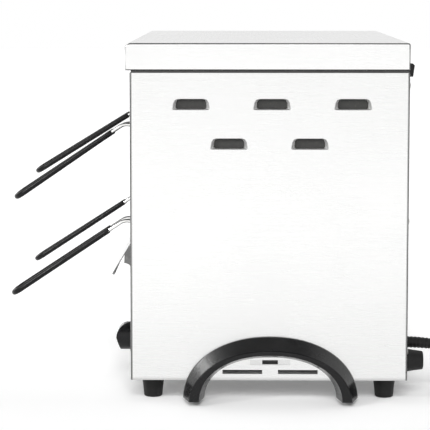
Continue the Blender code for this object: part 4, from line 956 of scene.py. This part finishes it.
chamber_middle = (body_front + chamber_back) / 2
tube_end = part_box("heating_tube_1")[1].x - 0.0004
tube_half_pitch = 0.0450
tube_rise = 0.1078
tube_row_pitch = 0.0860
tube_profile = ((-tube_end, 0.0040), (-tube_end, 0.0056), (-tube_end + 0.0006, 0.0058),
                (tube_end - 0.0006, 0.0058), (tube_end, 0.0056), (tube_end, 0.0040), (-tube_end, 0.0040))
winding_radius = 0.0029
winding_wire = 0.00045
steps_a_turn = 8
winding_steps = 90 * steps_a_turn
winding_reach = chamber_half - 0.004
for index in range(6):
    number = index + 1
    y = chamber_middle + (-1, 1)[index % 2] * tube_half_pitch
    z = body_bottom + tube_rise + index // 2 * tube_row_pitch
    bm = bmesh.new()
    turned(bm, tube_profile, (0, y, z), (1, 0, 0), 32)
    piece("quartz_tube_%d" % number, bm, "grill", "quartz_glass", glass, 40, ["heating_tube_%d" % number])
    path = []
    for step in range(winding_steps + 1):
        along = -winding_reach + 2 * winding_reach * step / winding_steps
        angle = 2 * math.pi * step / steps_a_turn
        out = Vector((0, math.cos(angle), math.sin(angle))) * winding_radius
        path.append(Vector((along, y, z)) + out)
    bm = bmesh.new()
    wire(bm, path, winding_wire, 5)
    piece("heating_wire_%d" % number, bm, "grill", "steel_dull", coil_wire, 60)


# Arch handles

arch_half = 0.0821
arch_rise = 0.0575
arch_power = 2.11
inner_half = 0.0620
inner_rise = 0.0379
inner_power = 2.21
leg_bottom = 0.0044
centre_drop = 0.0022
arch_proud = 0.0240
arch_wall = 0.0018
arch_middle = body_middle + 0.0014
arch_stations = 96
crease_foot, crease_crown = 0.31, 0.49
slope_foot, slope_crown = 0.76, 0.68


def arch_curve(half, height, power, share):
    """A point on a rounded arch that stands a little above the table."""
    base = leg_bottom - centre_drop
    start = math.asin(((leg_bottom - base) / (height + centre_drop)) ** (power / 2))
    angle = start + (math.pi - 2 * start) * share
    along = math.copysign(abs(math.cos(angle)) ** (2 / power), math.cos(angle)) * half
    return Vector((along, base + math.sin(angle) ** (2 / power) * (height + centre_drop)))


def arch(name, side, node):
    """Moulded arch: a broad outer slope, a crease, a flat front and a thin inner slope."""
    loops = []
    for station in range(arch_stations + 1):
        share = station / arch_stations
        outer = arch_curve(arch_half, arch_rise, arch_power, share)
        inner = arch_curve(inner_half, inner_rise, inner_power, share)
        rise = math.sin(math.pi * share)
        first = crease_foot + (crease_crown - crease_foot) * rise
        second = slope_foot + (slope_crown - slope_foot) * rise
        section = ((0, 0), (0, arch_wall), (first, arch_proud), (second, arch_proud), (1, arch_wall), (1, 0))
        points = []
        for across, proud in section:
            point = outer.lerp(inner, across)
            points.append(Vector(((half_width + gap + proud) * side, arch_middle - point.x, point.y)))
        loops.append(soften(points, 0.0012, 3))
    bm = bmesh.new()
    rings(bm, loops)
    level_shading(piece(name, bm, "grill", "black_plastic", plastic, 50, [node]))


for hand_name, hand in hands:
    arch("arch_" + hand_name, hand, "arch_handle_" + hand_name)


# Feet and rear bumpers, moulded rubber with a recess in the end

foot_x = 0.1950
foot_inset = 0.0200
bumper_x = 0.2000
bumper_rise = 0.0157
bumper_length = 0.0159


def foot(bm, origin, axis, length):
    """A tapered round foot with a rounded edge."""
    edge = 0.0016
    profile = [(0, 0), (0, 0.0106), (0.0004, 0.0109), (length * 0.5, 0.0096), (length - edge, 0.0088)]
    for degrees in (20, 40, 60, 80, 90):
        angle = math.radians(degrees)
        profile.append((length - edge + edge * math.sin(angle), 0.0072 + edge * math.cos(angle)))
    profile += [(length, 0.0046), (length - 0.0003, 0.0042), (length - 0.0040, 0.0040), (length - 0.0040, 0)]
    turned(bm, profile, origin, axis, 40)


for end_name, y in (("front", body_front + foot_inset), ("rear", body_back - foot_inset)):
    for hand_name, hand in hands:
        bm = bmesh.new()
        foot(bm, (hand * foot_x, y, body_bottom - gap), (0, 0, -1), body_bottom - gap)
        name = "foot_%s_%s" % (end_name, hand_name)
        piece("rubber_" + name, bm, "grill", "black_rubber", black_rubber, 40, [name])
for hand_name, hand in hands:
    bm = bmesh.new()
    foot(bm, (hand * bumper_x, body_back + gap, body_bottom + bumper_rise), (0, 1, 0), bumper_length)
    name = "bumper_" + hand_name
    piece("rubber_" + name, bm, "grill", "black_rubber", black_rubber, 40, ["rear_" + name])

# Screws of the back panel, one column at each side, with low domed heads
screw_radius = 0.0036
screw_height = 0.0016
screw_inset = 0.0110
screw_profile = [(0, 0), (0, screw_radius)]
for degrees in (20, 40, 60, 80):
    angle = math.radians(degrees)
    screw_profile.append((screw_height * math.sin(angle), screw_radius * math.cos(angle)))
screw_profile.append((screw_height, 0))
for hand_name, hand in hands:
    bm = bmesh.new()
    for height in (0.297, 0.170, 0.046):
        turned(bm, screw_profile, (hand * (half_width - screw_inset), body_back, height), (0, 1, 0), 24)
    piece("back_screws_" + hand_name, bm, "grill", "steel_dull", dull, 40)


# Numbers and marks

knob_x = 0.1100
control_z = body_bottom + 0.0215
ink_depth = 0.00012
face_y = body_front - ink_depth
degrees_a_minute = 20


def words(name, text, place, size, material, body="grill", lean=0.0):
    """Flat lettering printed on a face that looks forward and leans back by some degrees."""
    data = bpy.data.curves.new(name, "FONT")
    data.body = text
    data.size = size
    data.align_x = "CENTER"
    data.align_y = "CENTER"
    data.extrude = ink_depth / 2
    data.resolution_u = 4
    text_object = add_object(name + "_text", data)
    bpy.context.view_layer.update()
    mesh = bpy.data.meshes.new_from_object(text_object)
    bpy.data.objects.remove(text_object)
    turn = Matrix.Rotation(math.radians(90 - lean), 4, "X")
    mesh.transform(Matrix.Translation(place) @ turn)
    mesh.materials.clear()
    mesh.materials.append(material)
    item = add_object(name, mesh)
    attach(item, body)


# Dial: a tick at each minute, longer and broader at every fifth, and four numbers
bm = bmesh.new()
for minute in range(16):
    angle = math.radians(degrees_a_minute * minute)
    near, far, half = (0.0180, 0.0196, 0.00018) if minute % 5 else (0.0178, 0.0199, 0.00030)
    direction = Vector((math.sin(angle), 0, math.cos(angle)))
    across = Vector((math.cos(angle), 0, -math.sin(angle))) * half
    centre = Vector((knob_x, body_front, control_z))
    loop = [centre + direction * near + across, centre + direction * far + across,
            centre + direction * far - across, centre + direction * near - across]
    rings(bm, [loop, [p + Vector((0, -ink_depth, 0)) for p in loop]])
piece("dial_ticks", bm, "grill", "black_plastic", ink, 30)
for minute, radius in ((0, 0.0229), (5, 0.0229), (10, 0.0215), (15, 0.0229)):
    angle = math.radians(degrees_a_minute * minute)
    place = Vector((knob_x + radius * math.sin(angle), face_y, control_z + radius * math.cos(angle)))
    words("dial_number_%d" % minute, str(minute), place, 0.0042, ink)

# Marks of the rockers and the pointer of the knob
for number in (1, 2):
    body = "rocker_%d" % number
    low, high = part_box(body)
    middle = (low.x + high.x) / 2
    for mark, text, in_y, up, size, lean in (("on", "I", 0.0025, 0.0158, 0.0050, 2.9),
                                             ("off", "O", 0.0011, 0.0077, 0.0044, 16.8)):
        place = (middle, low.y + in_y, low.z + up)
        words("%s_%s_mark" % (body, mark), text, place, size, white_ink, body, lean)
bm = bmesh.new()
pointer_start = (knob_x, body_front - 0.0169, control_z + 0.0088)
pointer_end = (knob_x, body_front - 0.0136, control_z + 0.0118)
rod(bm, pointer_start, pointer_end, 0.0005, 8)
piece("knob_pointer", bm, "timer", "black_plastic", white_ink, 40)


# Floor

floor_half = 9
floor_z = -0.0002
white = (1, 1, 1, 1)
floor_mesh = bpy.data.meshes.new("floor")
bm = bmesh.new()
for x, y in ((-1, -1), (1, -1), (1, 1), (-1, 1)):
    bm.verts.new((x * floor_half, y * floor_half, floor_z))
bm.verts.ensure_lookup_table()
bm.faces.new(bm.verts)
bm.to_mesh(floor_mesh)
bm.free()
floor = add_object("floor", floor_mesh)
floor_material = bpy.data.materials.new("floor_paper")
floor_material.use_nodes = True
floor_mesh.materials.append(floor_material)

# It keeps the object's shadow; what is seen of it, also in metal and glass, is a little brighter: painted
# light that grows away from the object and behind it, leaving the floor near the object's front darker
paper = Tree(floor_material.node_tree)
paper.tree.nodes.clear()
rays = paper.node("LightPath").outputs
looked = paper.math("MAXIMUM", rays["Is Camera Ray"], rays["Is Transmission Ray"], rays["Is Glossy Ray"])
place = paper.node("NewGeometry").outputs["Position"]
far = paper.fed("VectorMath", place, operation="LENGTH")["Value"]
far = paper.remap(far, 0.45, 1.5, 0.0, 0.28)
behind = paper.remap(paper.split(place)["X"], 0.22, -0.2, 0.0, 0.29)
brighter = paper.math("ADD", paper.math("MAXIMUM", far, behind), 0.08)
glow = paper.fed("Emission", white, paper.math("MULTIPLY", looked, brighter))[0]
matt = paper.fed("BsdfDiffuse", (0.86, 0.86, 0.86, 1))[0]
both = paper.fed("AddShader", matt, glow)[0]
paper.feed(paper.node("OutputMaterial").inputs["Surface"], both)


# World: white behind the object, a plain level for its light, and a studio with a darker ceiling in its metal

sky_levels = ((0.0, 0.86), (0.08, 0.87), (0.20, 0.96), (0.70, 1.0), (1.0, 0.90))
flag_way = (0.45, 0.0, 0.893)
world = bpy.data.worlds.new("studio")
bpy.context.scene.world = world
world.use_nodes = True
studio = Tree(world.node_tree)
studio.tree.nodes.clear()
rays = studio.node("LightPath").outputs
direction = studio.node("TexCoord").outputs["Generated"]
way = studio.split(direction)
ramp = studio.node("ValToRGB")
studio.feed(ramp.inputs["Fac"], way["Z"])
for index, (height, level) in enumerate(sky_levels):
    stop = ramp.color_ramp.elements[index] if index < 2 else ramp.color_ramp.elements.new(height)
    stop.position = height
    stop.color = (level, level, level, 1)
looked = studio.math("MAXIMUM", rays["Is Camera Ray"], rays["Is Transmission Ray"])
plain = studio.fed("Background", white, 0.47)[0]
backdrop = studio.fed("Background", white, 1.0)[0]
side = studio.remap(way["X"], -1.0, 1.0, 0.93, 1.10)
flag = studio.fed("VectorMath", direction, flag_way, operation="DOT_PRODUCT")["Value"]
flag = studio.remap(flag, 0.82, 0.94, 1.0, 0.12)
walls = studio.remap(studio.size(way["Y"]), 0.45, 0.85, 1.0, 0.72)
room = studio.fed("Background", ramp.outputs["Color"], studio.math("MULTIPLY", side, flag, walls))[0]
lit = studio.fed("MixShader", rays["Is Glossy Ray"], plain, room)[0]
shown = studio.fed("MixShader", looked, lit, backdrop)[0]
studio.feed(studio.node("OutputWorld").inputs["Surface"], shown)


# Lamps

def lamp(name, place, size, power):
    """A square soft box that looks at the grill."""
    data = bpy.data.lights.new(name, "AREA")
    data.shape = "SQUARE"
    data.size = size
    data.energy = power
    item = add_object(name, data)
    item.location = place
    item.rotation_euler = (Vector((0.1, 0, 0.1)) - Vector(place)).to_track_quat("-Z", "Y").to_euler()


sun = bpy.data.lights.new("overhead", "SUN")
sun.energy = 2.4
sun.angle = math.radians(28)
sun_object = add_object("overhead", sun)
sun_object.rotation_euler = (0, math.radians(59), 0)
sun_object.visible_glossy = False
lamp("shoulder_box", (1.38, -1.34, 1.00), 0.30, 12)
lamp("edge_box", (1.8, 0.1, 1.3), 0.35, 2)
